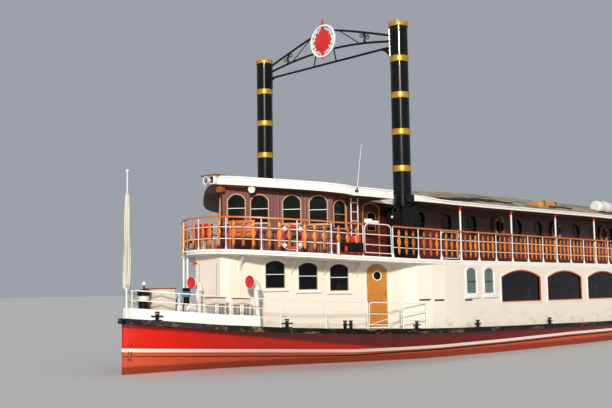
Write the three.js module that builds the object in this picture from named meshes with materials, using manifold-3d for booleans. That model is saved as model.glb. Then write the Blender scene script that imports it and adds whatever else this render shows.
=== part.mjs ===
// Stern-wheel paddle steamer with two decks and twin funnels, in millimetres.
// +X is forward, +Y is port, +Z is up. The origin is amidships on the centreline, at the waterline.
import * as THREE from "three";
import { mergeVertices } from "three/addons/utils/BufferGeometryUtils.js";
import Module from "manifold-3d";

const wasm = await Module();
wasm.setup();

// Driving dimensions
const STEM_X = 18000;
const TRANSOM_X = -13300;
const STERN_X = -18000;
const HOUSE_HALF = 4150;
const FUNNEL_X = 9440;
const FUNNEL_Y = 3300;
const FUNNEL_RADIUS = 300;
const FUNNEL_TOP = 11000;
const FIT = 0.3;
const KNOT_STEP = 2000;
const WALL = 60;
const DECK_PLATE = 140;
const DECK_HALF = 4150;
const DECK_AFT_X = -13000;
const DECK_BOW_X = 15370;
const DECK_BOW_CENTRE_X = 7440;
const UPPER_DECK_Z = 3210;
const SALOON_HALF = 2730;
const ROOF_HALF = 4200;
const ROOF_AFT_X = -12800;
const ROOF_FRONT_X = 14740;
const ROOF_OVER_DECK = 1840;
const RAIL_HEIGHT = 1000;
const BAY = 1077;

// Materials: colour, roughness, metalness
const PAINTS = {
  red: ["#d62a16", 0.45, 0],
  black: ["#101010", 0.35, 0],
  cream: ["#f0e6d4", 0.5, 0],
  white: ["#f2f0ea", 0.45, 0],
  maroon: ["#6e2a26", 0.5, 0],
  varnish: ["#d8781f", 0.35, 0],
  glass: ["#1b2422", 0.1, 0],
  gold: ["#d8a53c", 0.35, 0.8],
  iron: ["#2b2b2b", 0.6, 0.4],
  canvas: ["#e2ddd2", 0.9, 0],
  orange: ["#d8641e", 0.6, 0],
};
const materials = {};
for (const [name, [color, roughness, metalness]] of Object.entries(PAINTS)) {
  materials[name] = new THREE.MeshStandardMaterial({ color, roughness, metalness });
}

const steamer = new THREE.Group();
steamer.name = "paddle_steamer";

const v3 = (x, y, z) => new THREE.Vector3(x, y, z);
const clamp = (t) => Math.min(1, Math.max(0, t));

// Solids: a closed geometry becomes a manifold for joins and cuts, and goes back to a geometry
function solid(geometry) {
  const bare = geometry.clone();
  bare.deleteAttribute("normal");
  bare.deleteAttribute("uv");
  const merged = mergeVertices(bare, 1e-3);
  const vertProperties = merged.attributes.position.array;
  const triVerts = new Uint32Array(merged.index.array);
  return new wasm.Manifold(new wasm.Mesh({ numProp: 3, vertProperties, triVerts }));
}

function geometryOf(body) {
  const mesh = body.getMesh();
  const geometry = new THREE.BufferGeometry();
  const positions = new Float32Array(mesh.numVert * 3);
  for (let i = 0; i < mesh.numVert; i++) {
    for (let k = 0; k < 3; k++) {
      positions[3 * i + k] = mesh.vertProperties[i * mesh.numProp + k];
    }
  }
  geometry.setAttribute("position", new THREE.BufferAttribute(positions, 3));
  geometry.setIndex(new THREE.BufferAttribute(new Uint32Array(mesh.triVerts), 1));
  geometry.computeVertexNormals();
  return geometry;
}

const join = (bodies) => bodies.reduce((whole, body) => whole.add(body));
const cut = (body, tools) => tools.reduce((rest, tool) => rest.subtract(tool), body);

function add(name, body, paint) {
  const mesh = new THREE.Mesh(geometryOf(body), materials[paint]);
  mesh.name = name;
  steamer.add(mesh);
}

function box(x0, x1, y0, y1, z0, z1) {
  const geometry = new THREE.BoxGeometry(x1 - x0, y1 - y0, z1 - z0);
  geometry.translate((x0 + x1) / 2, (y0 + y1) / 2, (z0 + z1) / 2);
  return solid(geometry);
}

function centredBox(x, y, sizeX, sizeY, z0, z1) {
  return box(x - sizeX / 2, x + sizeX / 2, y - sizeY / 2, y + sizeY / 2, z0, z1);
}

// A round bar between two points
function bar(from, to, radius, sides = 8) {
  const along = to.clone().sub(from);
  const geometry = new THREE.CylinderGeometry(radius, radius, along.length(), sides);
  const turn = new THREE.Quaternion().setFromUnitVectors(v3(0, 1, 0), along.clone().normalize());
  geometry.applyQuaternion(turn);
  const middle = from.clone().add(to).multiplyScalar(0.5);
  geometry.translate(middle.x, middle.y, middle.z);
  return solid(geometry);
}

// A turned body on a vertical axis, from [radius, z] pairs that start and end on the axis
function turned(profile, x, y, sides = 24) {
  const points = profile.map(([radius, z]) => new THREE.Vector2(radius, z));
  const geometry = new THREE.LatheGeometry(points, sides);
  geometry.rotateX(Math.PI / 2);
  geometry.translate(x, y, 0);
  return solid(geometry);
}

// A closed skin over rings of equal point counts, with a flat cap on each end or closed on itself
function loft(rings, looped = false) {
  const count = rings[0].length;
  const positions = [];
  for (const ring of rings) {
    for (const point of ring) positions.push(point.x, point.y, point.z);
  }
  const index = [];
  const spans = looped ? rings.length : rings.length - 1;
  for (let r = 0; r < spans; r++) {
    const next = (r + 1) % rings.length;
    for (let i = 0; i < count; i++) {
      const j = (i + 1) % count;
      const [a, b, c, d] = [r * count + i, r * count + j, next * count + j, next * count + i];
      index.push(a, b, c, a, c, d);
    }
  }
  if (!looped) {
    const last = (rings.length - 1) * count;
    for (const [i, j, k] of capFaces(rings[0])) index.push(k, j, i);
    for (const [i, j, k] of capFaces(rings.at(-1))) index.push(last + i, last + j, last + k);
  }
  const geometry = new THREE.BufferGeometry();
  geometry.setAttribute("position", new THREE.Float32BufferAttribute(positions, 3));
  geometry.setIndex(signedVolume(positions, index) < 0 ? index.slice().reverse() : index);
  return solid(geometry);
}

function capFaces(ring) {
  const normal = v3(0, 0, 0);
  ring.forEach((point, i) => normal.add(point.clone().cross(ring[(i + 1) % ring.length])));
  normal.normalize();
  const side = ring[1].clone().sub(ring[0]).normalize();
  const other = normal.clone().cross(side);
  const flat = ring.map((point) => new THREE.Vector2(point.dot(side), point.dot(other)));
  return THREE.ShapeUtils.triangulateShape(flat, []);
}

function signedVolume(positions, index) {
  let volume = 0;
  const corner = (i) => v3(positions[3 * i], positions[3 * i + 1], positions[3 * i + 2]);
  for (let t = 0; t < index.length; t += 3) {
    const [a, b, c] = [corner(index[t]), corner(index[t + 1]), corner(index[t + 2])];
    volume += a.dot(b.cross(c));
  }
  return volume;
}

// A section of [across, up] pairs carried along a path, mitred at its corners
function sweep(path, section, { up = v3(0, 0, 1), looped = false } = {}) {
  const last = path.length - 1;
  const rings = path.map((point, i) => {
    const before = looped ? path[(i + last) % path.length] : path[Math.max(0, i - 1)];
    const after = looped ? path[(i + 1) % path.length] : path[Math.min(last, i + 1)];
    const arriving = (i > 0 || looped ? point.clone().sub(before) : after.clone().sub(point));
    const leaving = (i < last || looped ? after.clone().sub(point) : point.clone().sub(before));
    const acrossIn = arriving.cross(up).normalize();
    const acrossOut = leaving.cross(up).normalize();
    const across = acrossIn.clone().add(acrossOut).normalize();
    const mitre = 1 / across.dot(acrossIn);
    return section.map(([a, b]) =>
      point.clone().addScaledVector(across, a * mitre).addScaledVector(up, b));
  });
  return loft(rings, looped);
}

function tubeSection(radius, sides = 4) {
  const section = [];
  for (let i = 0; i < sides; i++) {
    const angle = (2 * Math.PI * (i + 0.5)) / sides;
    section.push([radius * Math.cos(angle), radius * Math.sin(angle)]);
  }
  return section;
}

const rectSection = (a0, a1, b0, b1) => [[a0, b0], [a1, b0], [a1, b1], [a0, b1]];

// A smooth formula held to straight runs between the knots, so that every deck, wall and rail agrees
function knotted(formula) {
  return (x) => {
    const from = Math.floor(x / KNOT_STEP) * KNOT_STEP;
    const part = (x - from) / KNOT_STEP;
    return formula(from) * (1 - part) + formula(from + KNOT_STEP) * part;
  };
}

// Linear reading of a table of [x, value] rows in rising x
function tabled(rows) {
  return (x) => {
    const next = rows.findIndex(([at]) => at >= x);
    if (next <= 0) return next < 0 ? rows.at(-1)[1] : rows[0][1];
    const [[x0, a], [x1, b]] = [rows[next - 1], rows[next]];
    return a + ((b - a) * (x - x0)) / (x1 - x0);
  };
}

function stations(x0, x1, extra = []) {
  const all = new Set([x0, x1, ...extra]);
  for (let x = Math.ceil(x0 / KNOT_STEP) * KNOT_STEP; x < x1; x += KNOT_STEP) all.add(x);
  return [...all].filter((x) => x >= x0 && x <= x1).sort((a, b) => a - b);
}

// Heights: main deck sheer, upper deck sheer, underside of the roof
const MAIN_DECK = [
  // x, z
  [-13000, 880], [-9000, 840], [-3000, 830], [1400, 890], [5400, 940], [8000, 990], [9400, 1020],
  [11400, 1080], [13400, 1160], [15400, 1290], [17000, 1440], [18000, 1568],
];
const mainDeckZ = knotted(tabled(MAIN_DECK));
const upperDeckZ = knotted((x) => {
  const ahead = Math.max(0, x - DECK_BOW_CENTRE_X) / 1000;
  return UPPER_DECK_Z + 5.5 * ahead * ahead;
});
const roofZ = knotted((x) => {
  const aft = 100 * clamp((DECK_BOW_CENTRE_X - x) / 10000);
  const nose = 95 * Math.max(0, (x - 12000) / 1000);
  return upperDeckZ(x) + ROOF_OVER_DECK + aft + nose;
});

// Half breadths in plan: the deck's bow is half an ellipse, and the roof's comes to a blunt point
function deckHalf(x) {
  const part = clamp((x - DECK_BOW_CENTRE_X) / (DECK_BOW_X - DECK_BOW_CENTRE_X));
  return DECK_HALF * Math.sqrt(Math.max(0, 1 - part * part));
}
const ROOF_PLAN = [
  // x, half breadth
  [8440, ROOF_HALF], [9400, 4070], [10400, 3880], [11400, 3640], [12300, 3320], [12750, 2920],
  [13100, 2500], [13500, 2000], [13900, 1460], [14250, 980], [14550, 500], [14700, 200],
  [ROOF_FRONT_X, 60],
];
const roofHalf = tabled(ROOF_PLAN);

// The space between two decks: walls and furniture are trimmed to it
function storey(low, high) {
  const rings = stations(STERN_X, STEM_X + KNOT_STEP).map((x) => {
    const [z0, z1] = [low(x) + FIT, high(x) - FIT];
    return [v3(x, -6000, z0), v3(x, 6000, z0), v3(x, 6000, z1), v3(x, -6000, z1)];
  });
  return loft(rings);
}
const lowerStorey = storey(mainDeckZ, (x) => upperDeckZ(x) - DECK_PLATE);
const upperStorey = storey(upperDeckZ, roofZ);
const overMainDeck = storey(mainDeckZ, () => 9000);
const overUpperDeck = storey(upperDeckZ, () => 9000);

// Hull: decked, so it is solid below its deck
const HULL = [
  // x, half breadth at the deck, half breadth at the waterline, keel z
  [-13300, 3900, 3450, -520],
  [-12000, 4080, 3700, -700],
  [-9500, 4190, 3880, -1000],
  [-6000, 4200, 3930, -1100],
  [0, 4200, 3930, -1100],
  [4400, 4200, 3850, -1100],
  [8750, 4160, 3320, -1100],
  [10500, 3990, 2650, -1100],
  [12000, 3700, 1900, -1100],
  [14000, 3030, 950, -1090],
  [15600, 2190, 470, -1030],
  [16800, 1340, 180, -880],
  [17500, 690, 80, -700],
  [18000, 60, 40, -450],
];
const SECTION = [
  // share of the waterline half breadth, share of the keel depth
  [1, 0], [0.985, 0.4], [0.91, 0.72], [0.74, 0.92], [0.45, 0.99],
];
const KEEL_HALF = 30;
const hullDeckHalf = tabled(HULL.map(([x, deck]) => [x, deck]));
const hullWaterHalf = tabled(HULL.map(([x, , water]) => [x, water]));
const hullKeelZ = tabled(HULL.map(([x, , , keel]) => [x, keel]));

function smooth(read, x) {
  const reach = Math.min(700, STEM_X - x, x - TRANSOM_X);
  return (read(x - reach) + 2 * read(x) + read(x + reach)) / 4;
}

function hullHalfRing(x) {
  const deck = smooth(hullDeckHalf, x);
  const water = smooth(hullWaterHalf, x);
  const keel = smooth(hullKeelZ, x);
  const top = mainDeckZ(x);
  const flare = 0.42;
  const half = [[deck, top], [water + (deck - water) * flare, top * 0.5]];
  for (const [breadth, depth] of SECTION) half.push([Math.max(KEEL_HALF, water * breadth), keel * depth]);
  half.push([KEEL_HALF, keel]);
  return half;
}

const HULL_NOSE = [9000, 11000, 13000, 15000, 16500, 17200, 17700];

function hullSolid(shift = 0) {
  const rings = stations(TRANSOM_X, STEM_X, HULL_NOSE).map((x) => {
    const half = hullHalfRing(x);
    const port = half.map(([y, z]) => v3(x, y + shift, z));
    const starboard = half.map(([y, z]) => v3(x, shift - y, z)).reverse();
    return [...port, ...starboard];
  });
  return loft(rings);
}
const deckEdge = (x) => smooth(hullDeckHalf, x);

// Rudders: stock, blade and the gudgeons on the transom
const RUDDER_Y = 1500;
const RUDDER_X = -13480;
const STOCK_RADIUS = 55;
const STOCK_CLEARANCE = 12;
const GUDGEON_Z = [120, 560];
const GUDGEON_THICK = 90;
const SIDES = [["port", 1], ["starboard", -1]];

function buildHull() {
  const lugs = [];
  const bores = [];
  for (const [, side] of SIDES) {
    const y = side * RUDDER_Y;
    for (const z of GUDGEON_Z) {
      lugs.push(box(RUDDER_X - 130, TRANSOM_X + 100, y - 130, y + 130, z, z + GUDGEON_THICK));
    }
    bores.push(bar(v3(RUDDER_X, y, 0), v3(RUDDER_X, y, 800), STOCK_RADIUS + STOCK_CLEARANCE, 16));
  }
  add("hull", cut(join([hullSolid(), ...lugs]), bores), "red");
}

function buildRudders() {
  const collarZ = GUDGEON_Z.at(-1) + GUDGEON_THICK + FIT;
  for (const [name, side] of SIDES) {
    const y = side * RUDDER_Y;
    const stock = bar(v3(RUDDER_X, y, -1000), v3(RUDDER_X, y, collarZ + 60), STOCK_RADIUS, 16);
    const collar = bar(v3(RUDDER_X, y, collarZ), v3(RUDDER_X, y, collarZ + 60), 95, 16);
    const blade = box(RUDDER_X - 900, RUDDER_X + 20, y - 25, y + 25, -1050, -150);
    add(`rudder_${name}`, join([stock, collar, blade]), "red");
  }
}

// Rubbing strake along the deck edge and the low bulwark round the bow
const STRAKE_HEIGHT = 150;
const STRAKE_OUT = 90;

function edgePath(x0, x1, inset, lift) {
  const port = stations(x0, x1, HULL_NOSE).map((x) => v3(x, deckEdge(x) - inset, mainDeckZ(x) + lift));
  const starboard = port.map((p) => v3(p.x, -p.y, p.z)).reverse();
  return [...port, ...starboard];
}

// Each side's strake is trimmed to the hull moved outwards by the fitting gap
function buildStrake() {
  const lowered = 2;
  const sides = SIDES.map(([, side]) => {
    const rings = stations(TRANSOM_X, STEM_X + 40, HULL_NOSE).map((x) => {
      const top = mainDeckZ(Math.min(x, STEM_X)) - lowered;
      const low = top - STRAKE_HEIGHT;
      const inner = side * Math.max(0, deckEdge(Math.min(x, STEM_X)) - 150);
      const outer = side * (deckEdge(Math.min(x, STEM_X)) + STRAKE_OUT);
      return [v3(x, inner, top), v3(x, outer, top), v3(x, outer, low), v3(x, inner, low)];
    });
    return loft(rings).subtract(hullSolid(side * FIT));
  });
  const top = mainDeckZ(STEM_X) - lowered;
  const reach = deckEdge(STEM_X) + STRAKE_OUT;
  sides.push(box(STEM_X + FIT, STEM_X + 70, -reach, reach, top - STRAKE_HEIGHT, top));
  add("rubbing_strake", join(sides), "black");
}

const BULWARK_AFT_X = 15000;
const BULWARK_FORE_X = 17850;
const BULWARK_INSET = 70;
const BULWARK_HEIGHT = 300;

function buildBulwark() {
  const path = edgePath(BULWARK_AFT_X, BULWARK_FORE_X, BULWARK_INSET, 0);
  const wall = sweep(path, rectSection(-20, 20, -200, BULWARK_HEIGHT));
  add("bow_bulwark", wall.intersect(overMainDeck), "white");
}

// Openings with a rounded head, as a Shape in the wall's own plane
function archedShape(width, height, rise, trim = 0) {
  const half = width / 2 - trim;
  const spring = height - rise;
  const radius = (half * half + rise * rise) / (2 * rise);
  const reach = Math.asin(Math.min(1, half / radius));
  const shape = new THREE.Shape();
  shape.moveTo(-half, trim);
  shape.lineTo(half, trim);
  shape.lineTo(half, spring - trim);
  const centre = height - radius - trim;
  shape.absarc(0, centre, radius, Math.PI / 2 - reach, Math.PI / 2 + reach, false);
  shape.lineTo(-half, spring - trim);
  return shape;
}

// The shape set upright on a wall: at is the sill's centre, out is the wall's outward heading
function upright(shape, at, out, back, front, arcs = 3) {
  const geometry = new THREE.ExtrudeGeometry(shape, {
    depth: back + front, bevelEnabled: false, curveSegments: arcs,
  });
  geometry.translate(0, 0, -back);
  const normal = v3(out.x, out.y, 0).normalize();
  const along = v3(0, 0, 1).cross(normal);
  const frame = new THREE.Matrix4().makeBasis(along, v3(0, 0, 1), normal);
  geometry.applyMatrix4(frame.setPosition(at));
  return solid(geometry);
}

// Main deck house, outer face in plan from the bow aft on the port side
const HOUSE_FRONT_X = 14940;
const HOUSE_CORNER = [14740, 800];
const DOOR_END = [9900, 3066];
const HOUSE_AFT_X = -12200;
const HOUSE_PLAN = [
  // x, y
  [HOUSE_FRONT_X, 600], HOUSE_CORNER, DOOR_END, [9720, 3480], [9400, 3800], [8900, 4000], [8300, 4110],
  [7640, HOUSE_HALF], [HOUSE_AFT_X, HOUSE_HALF],
];
const SLANT = v3(DOOR_END[0] - HOUSE_CORNER[0], DOOR_END[1] - HOUSE_CORNER[1], 0).normalize();
const slantPoint = (run) => v3(HOUSE_CORNER[0], HOUSE_CORNER[1], 0).addScaledVector(SLANT, run);
const SLANT_OUT = v3(-SLANT.y, SLANT.x, 0).multiplyScalar(-1);
const SLANT_WINDOWS = [1440, 2520, 3570];
const SLANT_WINDOW = { width: 640, height: 860, rise: 130, underDeck: 1060 };
const HOUSE_DOOR = { from: 4530, width: 710, height: 2010, rise: 180, sill: 40 };
const SIDE_WINDOWS = [
  // x, width, sill z, height, rise
  [6870, 610, 2080, 910, 130], [5800, 610, 2080, 910, 130],
  [3670, 2740, 1760, 1160, 260], [455, 2740, 1760, 1160, 260], [-2760, 2740, 1760, 1160, 260],
  [-5975, 2740, 1760, 1160, 260], [-9190, 2740, 1760, 1160, 260],
];
const AFT_DOOR = { width: 800, height: 1950, rise: 160, sill: 40 };
const DOOR_GAP = 8;
const DOOR_THICK = 45;

const mirrored = ([x, y]) => [x, -y];
const planPath = (plan, z) => plan.map(([x, y]) => v3(x, y, z));

function wallRing(plan, z0, z1) {
  const loop = planPath([...plan, ...plan.map(mirrored).reverse()], 0);
  return sweep(loop, rectSection(-WALL, 0, z0, z1), { looped: true });
}

function houseDoorPlace(side) {
  const at = slantPoint(HOUSE_DOOR.from + HOUSE_DOOR.width / 2);
  return {
    at: v3(at.x, side * at.y, mainDeckZ(at.x) + HOUSE_DOOR.sill),
    out: v3(SLANT_OUT.x, side * SLANT_OUT.y, 0),
  };
}

function houseCutters() {
  const cutters = [];
  for (const [, side] of SIDES) {
    const out = v3(SLANT_OUT.x, side * SLANT_OUT.y, 0);
    for (const run of SLANT_WINDOWS) {
      const { width, height, rise, underDeck } = SLANT_WINDOW;
      const at = slantPoint(run);
      const sill = v3(at.x, side * at.y, upperDeckZ(at.x) - underDeck);
      cutters.push(upright(archedShape(width, height, rise), sill, out, 200, 200));
    }
    for (const [x, width, sill, height, rise] of SIDE_WINDOWS) {
      const at = v3(x, side * HOUSE_HALF, sill);
      cutters.push(upright(archedShape(width, height, rise), at, v3(0, side, 0), 200, 200));
    }
    const door = houseDoorPlace(side);
    const { width, height, rise } = HOUSE_DOOR;
    cutters.push(upright(archedShape(width, height, rise), door.at, door.out, 200, 200));
  }
  const aft = v3(HOUSE_AFT_X, 0, mainDeckZ(HOUSE_AFT_X) + AFT_DOOR.sill);
  const aftShape = archedShape(AFT_DOOR.width, AFT_DOOR.height, AFT_DOOR.rise);
  cutters.push(upright(aftShape, aft, v3(-1, 0, 0), 200, 200));
  return cutters;
}

function buildHouse() {
  const ring = cut(wallRing(HOUSE_PLAN, 0, 4500).intersect(lowerStorey), houseCutters());
  const frontSplit = HOUSE_CORNER[0];
  const aftSplit = HOUSE_AFT_X + WALL;
  const far = 9000;
  add("house_wall_front", ring.intersect(box(frontSplit + FIT, far * 2, -far, far, 0, far)), "cream");
  add("house_wall_aft", ring.intersect(box(-far * 2, aftSplit, -far, far, 0, far)), "cream");
  for (const [name, side] of SIDES) {
    const [y0, y1] = side > 0 ? [0, far] : [-far, 0];
    const half = ring.intersect(box(aftSplit + FIT, frontSplit, y0, y1, 0, far));
    add(`house_wall_${name}`, half, "cream");
  }
}

// Hinges: a knuckle proud of the outer face, just beside the opening, and a flap onto the leaf
const HINGE = { radius: 10, beside: 6, height: 110, flap: 70, thick: 4, lifts: [260, 1380] };

// A hinged leaf: its opening's shape less a running gap, flush with the outer face.
// hinged is 1 or -1, the side of the opening along Z x out that carries the hinges.
function leaf(opening, at, out, hinged) {
  const shape = archedShape(opening.width, opening.height, opening.rise, DOOR_GAP);
  const bodies = [upright(shape, at, out, DOOR_THICK, 0)];
  const normal = out.clone().normalize();
  const along = v3(0, 0, 1).cross(normal).multiplyScalar(hinged);
  const axis = at.clone().addScaledVector(along, opening.width / 2 + HINGE.beside);
  axis.addScaledVector(normal, HINGE.radius + FIT);
  for (const lift of HINGE.lifts) {
    const foot = v3(axis.x, axis.y, at.z + lift);
    bodies.push(bar(foot, v3(foot.x, foot.y, foot.z + HINGE.height), HINGE.radius, 8));
    const beside = (reach) => foot.clone().addScaledVector(along, -reach);
    const flap = [beside(HINGE.beside + 2), beside(HINGE.flap)];
    const outward = -hinged;
    const depth = -HINGE.radius - FIT;
    const section = rectSection(outward * (depth - 2), outward * (depth + HINGE.thick), 0, HINGE.height);
    bodies.push(sweep(flap, section));
    const web = [foot, beside(HINGE.beside + 12)];
    bodies.push(sweep(web, rectSection(outward * (depth + 2), outward * (depth + 6), 0, HINGE.height)));
  }
  return join(bodies);
}

function buildHouseDoors() {
  for (const [name, side] of SIDES) {
    const place = houseDoorPlace(side);
    add(`house_door_${name}`, leaf(HOUSE_DOOR, place.at, place.out, -side), "varnish");
  }
  const aft = v3(HOUSE_AFT_X, 0, mainDeckZ(HOUSE_AFT_X) + AFT_DOOR.sill);
  add("house_door_aft", leaf(AFT_DOOR, aft, v3(-1, 0, 0), -1), "varnish");
}

// Glass: one sheet behind each run of windows, against the inner face of the wall
const PANE = 8;

// inward is 1 on a path that runs forward on the port side, and -1 on one that runs aft
function paneSection(inward, z0, z1) {
  return rectSection(inward * (WALL + FIT), inward * (WALL + FIT + PANE), z0, z1);
}

function buildHouseGlass() {
  const end = slantPoint(4200);
  const fore = [[end.x, end.y], HOUSE_CORNER, [HOUSE_FRONT_X, 600]];
  const foreLoop = [...fore, ...fore.map(mirrored).reverse()];
  const foreSheet = sweep(planPath(foreLoop, 0), paneSection(1, 2000, 4500));
  add("glass_house_fore", foreSheet.intersect(lowerStorey), "glass");
  const aft = [[7500, HOUSE_HALF], [HOUSE_AFT_X, HOUSE_HALF]];
  const aftLoop = planPath([...aft, ...aft.map(mirrored).reverse()], 0);
  const doorway = box(HOUSE_AFT_X - 500, HOUSE_AFT_X + 500, -600, 600, 0, 2900);
  const sheet = sweep(aftLoop, paneSection(-1, 1600, 4500)).intersect(lowerStorey);
  add("glass_house_aft", sheet.subtract(doorway), "glass");
}

// Upper deck
const DECK_NOSE_X = DECK_BOW_X - 8;
const DECK_CURVE = [9000, 11000, 13000, 14700, 15100, 15280];

function buildUpperDeck() {
  const rings = stations(DECK_AFT_X, DECK_NOSE_X, DECK_CURVE).map((x) => {
    const half = Math.max(60, deckHalf(x));
    const z = upperDeckZ(x);
    const low = z - DECK_PLATE;
    return [v3(x, -half, low), v3(x, half, low), v3(x, half, z), v3(x, -half, z)];
  });
  add("upper_deck", loft(rings), "white");
}

// Saloon on the upper deck, with a pointed front and a covered walk all round
const SALOON_APEX_X = 14390;
const SALOON_SHOULDER = [12210, SALOON_HALF];
const SALOON_AFT_X = -10800;
const SALOON_PLAN = [[SALOON_APEX_X, 40], SALOON_SHOULDER, [SALOON_AFT_X, SALOON_HALF]];
const PROW = v3(SALOON_SHOULDER[0] - SALOON_APEX_X, SALOON_HALF - 40, 0);
const PROW_LENGTH = PROW.length();
PROW.normalize();
const PROW_OUT = v3(PROW.y, -PROW.x, 0);
const SALOON_WINDOW = { width: 560, height: 880, rise: 200, prowSill: 970, sideSill: 870 };
const PROW_WINDOWS = [450, 1180, 2190, 3020];
const SALOON_WINDOWS_X = [
  11880, 7800, 6200, 4600, 3000, 1400, -200, -1800, -3400, -5000, -6600, -8200, -9700,
];
const SALOON_DOOR = { x: 10390, width: 700, height: 1740, rise: 120, sill: 20 };
const SALOON_AFT_DOOR = { width: 800, height: 1740, rise: 120, sill: 20 };

const prowPoint = (run) => v3(SALOON_APEX_X, 40, 0).addScaledVector(PROW, run);

function saloonCutters() {
  const { width, height, rise, prowSill, sideSill } = SALOON_WINDOW;
  const cutters = [];
  for (const [, side] of SIDES) {
    for (const run of PROW_WINDOWS) {
      const at = prowPoint(run);
      const low = v3(at.x, side * at.y, upperDeckZ(at.x) + prowSill);
      const out = v3(PROW_OUT.x, side * PROW_OUT.y, 0);
      cutters.push(upright(archedShape(width, height, rise), low, out, 200, 200));
    }
    for (const x of SALOON_WINDOWS_X) {
      const low = v3(x, side * SALOON_HALF, upperDeckZ(x) + sideSill);
      cutters.push(upright(archedShape(width, height, rise), low, v3(0, side, 0), 200, 200));
    }
    const door = v3(SALOON_DOOR.x, side * SALOON_HALF, upperDeckZ(SALOON_DOOR.x) + SALOON_DOOR.sill);
    const doorShape = archedShape(SALOON_DOOR.width, SALOON_DOOR.height, SALOON_DOOR.rise);
    cutters.push(upright(doorShape, door, v3(0, side, 0), 200, 200));
  }
  const aft = v3(SALOON_AFT_X, 0, UPPER_DECK_Z + SALOON_AFT_DOOR.sill);
  const aftShape = archedShape(SALOON_AFT_DOOR.width, SALOON_AFT_DOOR.height, SALOON_AFT_DOOR.rise);
  cutters.push(upright(aftShape, aft, v3(-1, 0, 0), 200, 200));
  return cutters;
}

function buildSaloon() {
  const ring = cut(wallRing(SALOON_PLAN, 3000, 6500).intersect(upperStorey), saloonCutters());
  const aftSplit = SALOON_AFT_X + WALL;
  const far = 9000;
  add("saloon_wall_aft", ring.intersect(box(-far * 2, aftSplit, -far, far, 0, far)), "maroon");
  for (const [name, side] of SIDES) {
    const [y0, y1] = side > 0 ? [FIT / 2, far] : [-far, -FIT / 2];
    const half = ring.intersect(box(aftSplit + FIT, far * 2, y0, y1, 0, far));
    add(`saloon_wall_${name}`, half, "maroon");
  }
}

function buildSaloonDoors() {
  const { x, sill } = SALOON_DOOR;
  for (const [name, side] of SIDES) {
    const at = v3(x, side * SALOON_HALF, upperDeckZ(x) + sill);
    add(`saloon_door_${name}`, leaf(SALOON_DOOR, at, v3(0, side, 0), -side), "maroon");
  }
  const aft = v3(SALOON_AFT_X, 0, UPPER_DECK_Z + SALOON_AFT_DOOR.sill);
  add("saloon_door_aft", leaf(SALOON_AFT_DOOR, aft, v3(-1, 0, 0), -1), "varnish");
}

function buildSaloonGlass() {
  const fore = [[11100, SALOON_HALF], SALOON_SHOULDER, [SALOON_APEX_X, 40]];
  const foreLoop = planPath([...fore, ...fore.map(mirrored).reverse()], 0);
  const foreSheet = sweep(foreLoop, paneSection(1, 3900, 6500));
  add("glass_saloon_fore", foreSheet.intersect(upperStorey), "glass");
  const aft = [[8800, SALOON_HALF], [SALOON_AFT_X, SALOON_HALF]];
  const aftLoop = planPath([...aft, ...aft.map(mirrored).reverse()], 0);
  const doorway = box(SALOON_AFT_X - 500, SALOON_AFT_X + 500, -600, 600, 0, 9000);
  const sheet = sweep(aftLoop, paneSection(-1, 3700, 6500)).intersect(upperStorey);
  const stub = box(SALOON_AFT_X - 500, SALOON_AFT_X + 500, -600, 600, 5030, 9000);
  const lintel = sheet.intersect(stub);
  add("glass_saloon_aft", sheet.subtract(doorway).add(lintel), "glass");
}

// Roof: flat soffit, a white fascia that is deeper forward, and a cambered top, notched for the funnels
const FASCIA = tabled([[8600, 110], [10400, 250]]);
const CAMBER = [
  // share of the half breadth, share of the camber
  [0.8, 0.4], [0.5, 0.8], [0.2, 0.97],
];
const ROOF_CURVE = [8600, ...ROOF_PLAN.map(([x]) => x)];
// Behind and beside the funnel the notch is a slot inside the rim; ahead of it the notch is open
const NOTCH = { aft: 430, middle: 300, fore: 1140, inner: 2850, outer: 3670 };
const ROOF_CAMBER = tabled([[5600, 850], [9400, 230]]);
const camber = (x) => ROOF_CAMBER(x) * (roofHalf(x) / ROOF_HALF) ** 2;

function buildRoof() {
  const rings = stations(ROOF_AFT_X, ROOF_FRONT_X, ROOF_CURVE).map((x) => {
    const half = roofHalf(x);
    const z = roofZ(x);
    const edge = z + FASCIA(x);
    const ring = [v3(x, -half, z), v3(x, half, z), v3(x, half, edge)];
    for (const [share, rise] of CAMBER) ring.push(v3(x, half * share, edge + camber(x) * rise));
    for (const [share, rise] of [...CAMBER].reverse()) {
      ring.push(v3(x, -half * share, edge + camber(x) * rise));
    }
    ring.push(v3(x, -half, edge));
    return ring;
  });
  const { aft, middle, fore, inner, outer } = NOTCH;
  const notches = SIDES.flatMap(([, side]) =>
    [[-aft, middle, outer], [middle - 10, fore, 6000]].map(([from, to, reach]) => {
      const [y0, y1] = side > 0 ? [inner, reach] : [-reach, -inner];
      return box(FUNNEL_X + from, FUNNEL_X + to, y0, y1, 4000, 7000);
    }));
  add("roof", cut(loft(rings), notches), "white");
}

// Searchlight on a bracket at the roof's nose
const SEARCHLIGHT = { y: -40, z: 5715, radius: 120, from: 50, to: 250 };

function buildSearchlight() {
  const { y, z, radius, from, to } = SEARCHLIGHT;
  const x = ROOF_FRONT_X;
  const bracket = box(x + FIT, x + from + 10, y - 20, y + 60, z - 40, z + 40);
  const drum = bar(v3(x + from, y, z), v3(x + to, y, z), radius, 16);
  add("searchlight", join([bracket, drum]), "white");
}

// Funnels: a plain pipe with raised bands, open at the top under a pointed crown, over a square casing
const CASING_TOP = 4950;
const BAND_TOPS = [6300, 7520, 8750, 9980];
const BAND_HEIGHT = 200;
const BAND_PROUD = 16;
const BORE_DEPTH = 1500;
const FUNNEL_SIDES = 16;
const CROWN = { inner: 282, foot: 315, lip: 345, valley: 90, peak: 200 };

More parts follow.
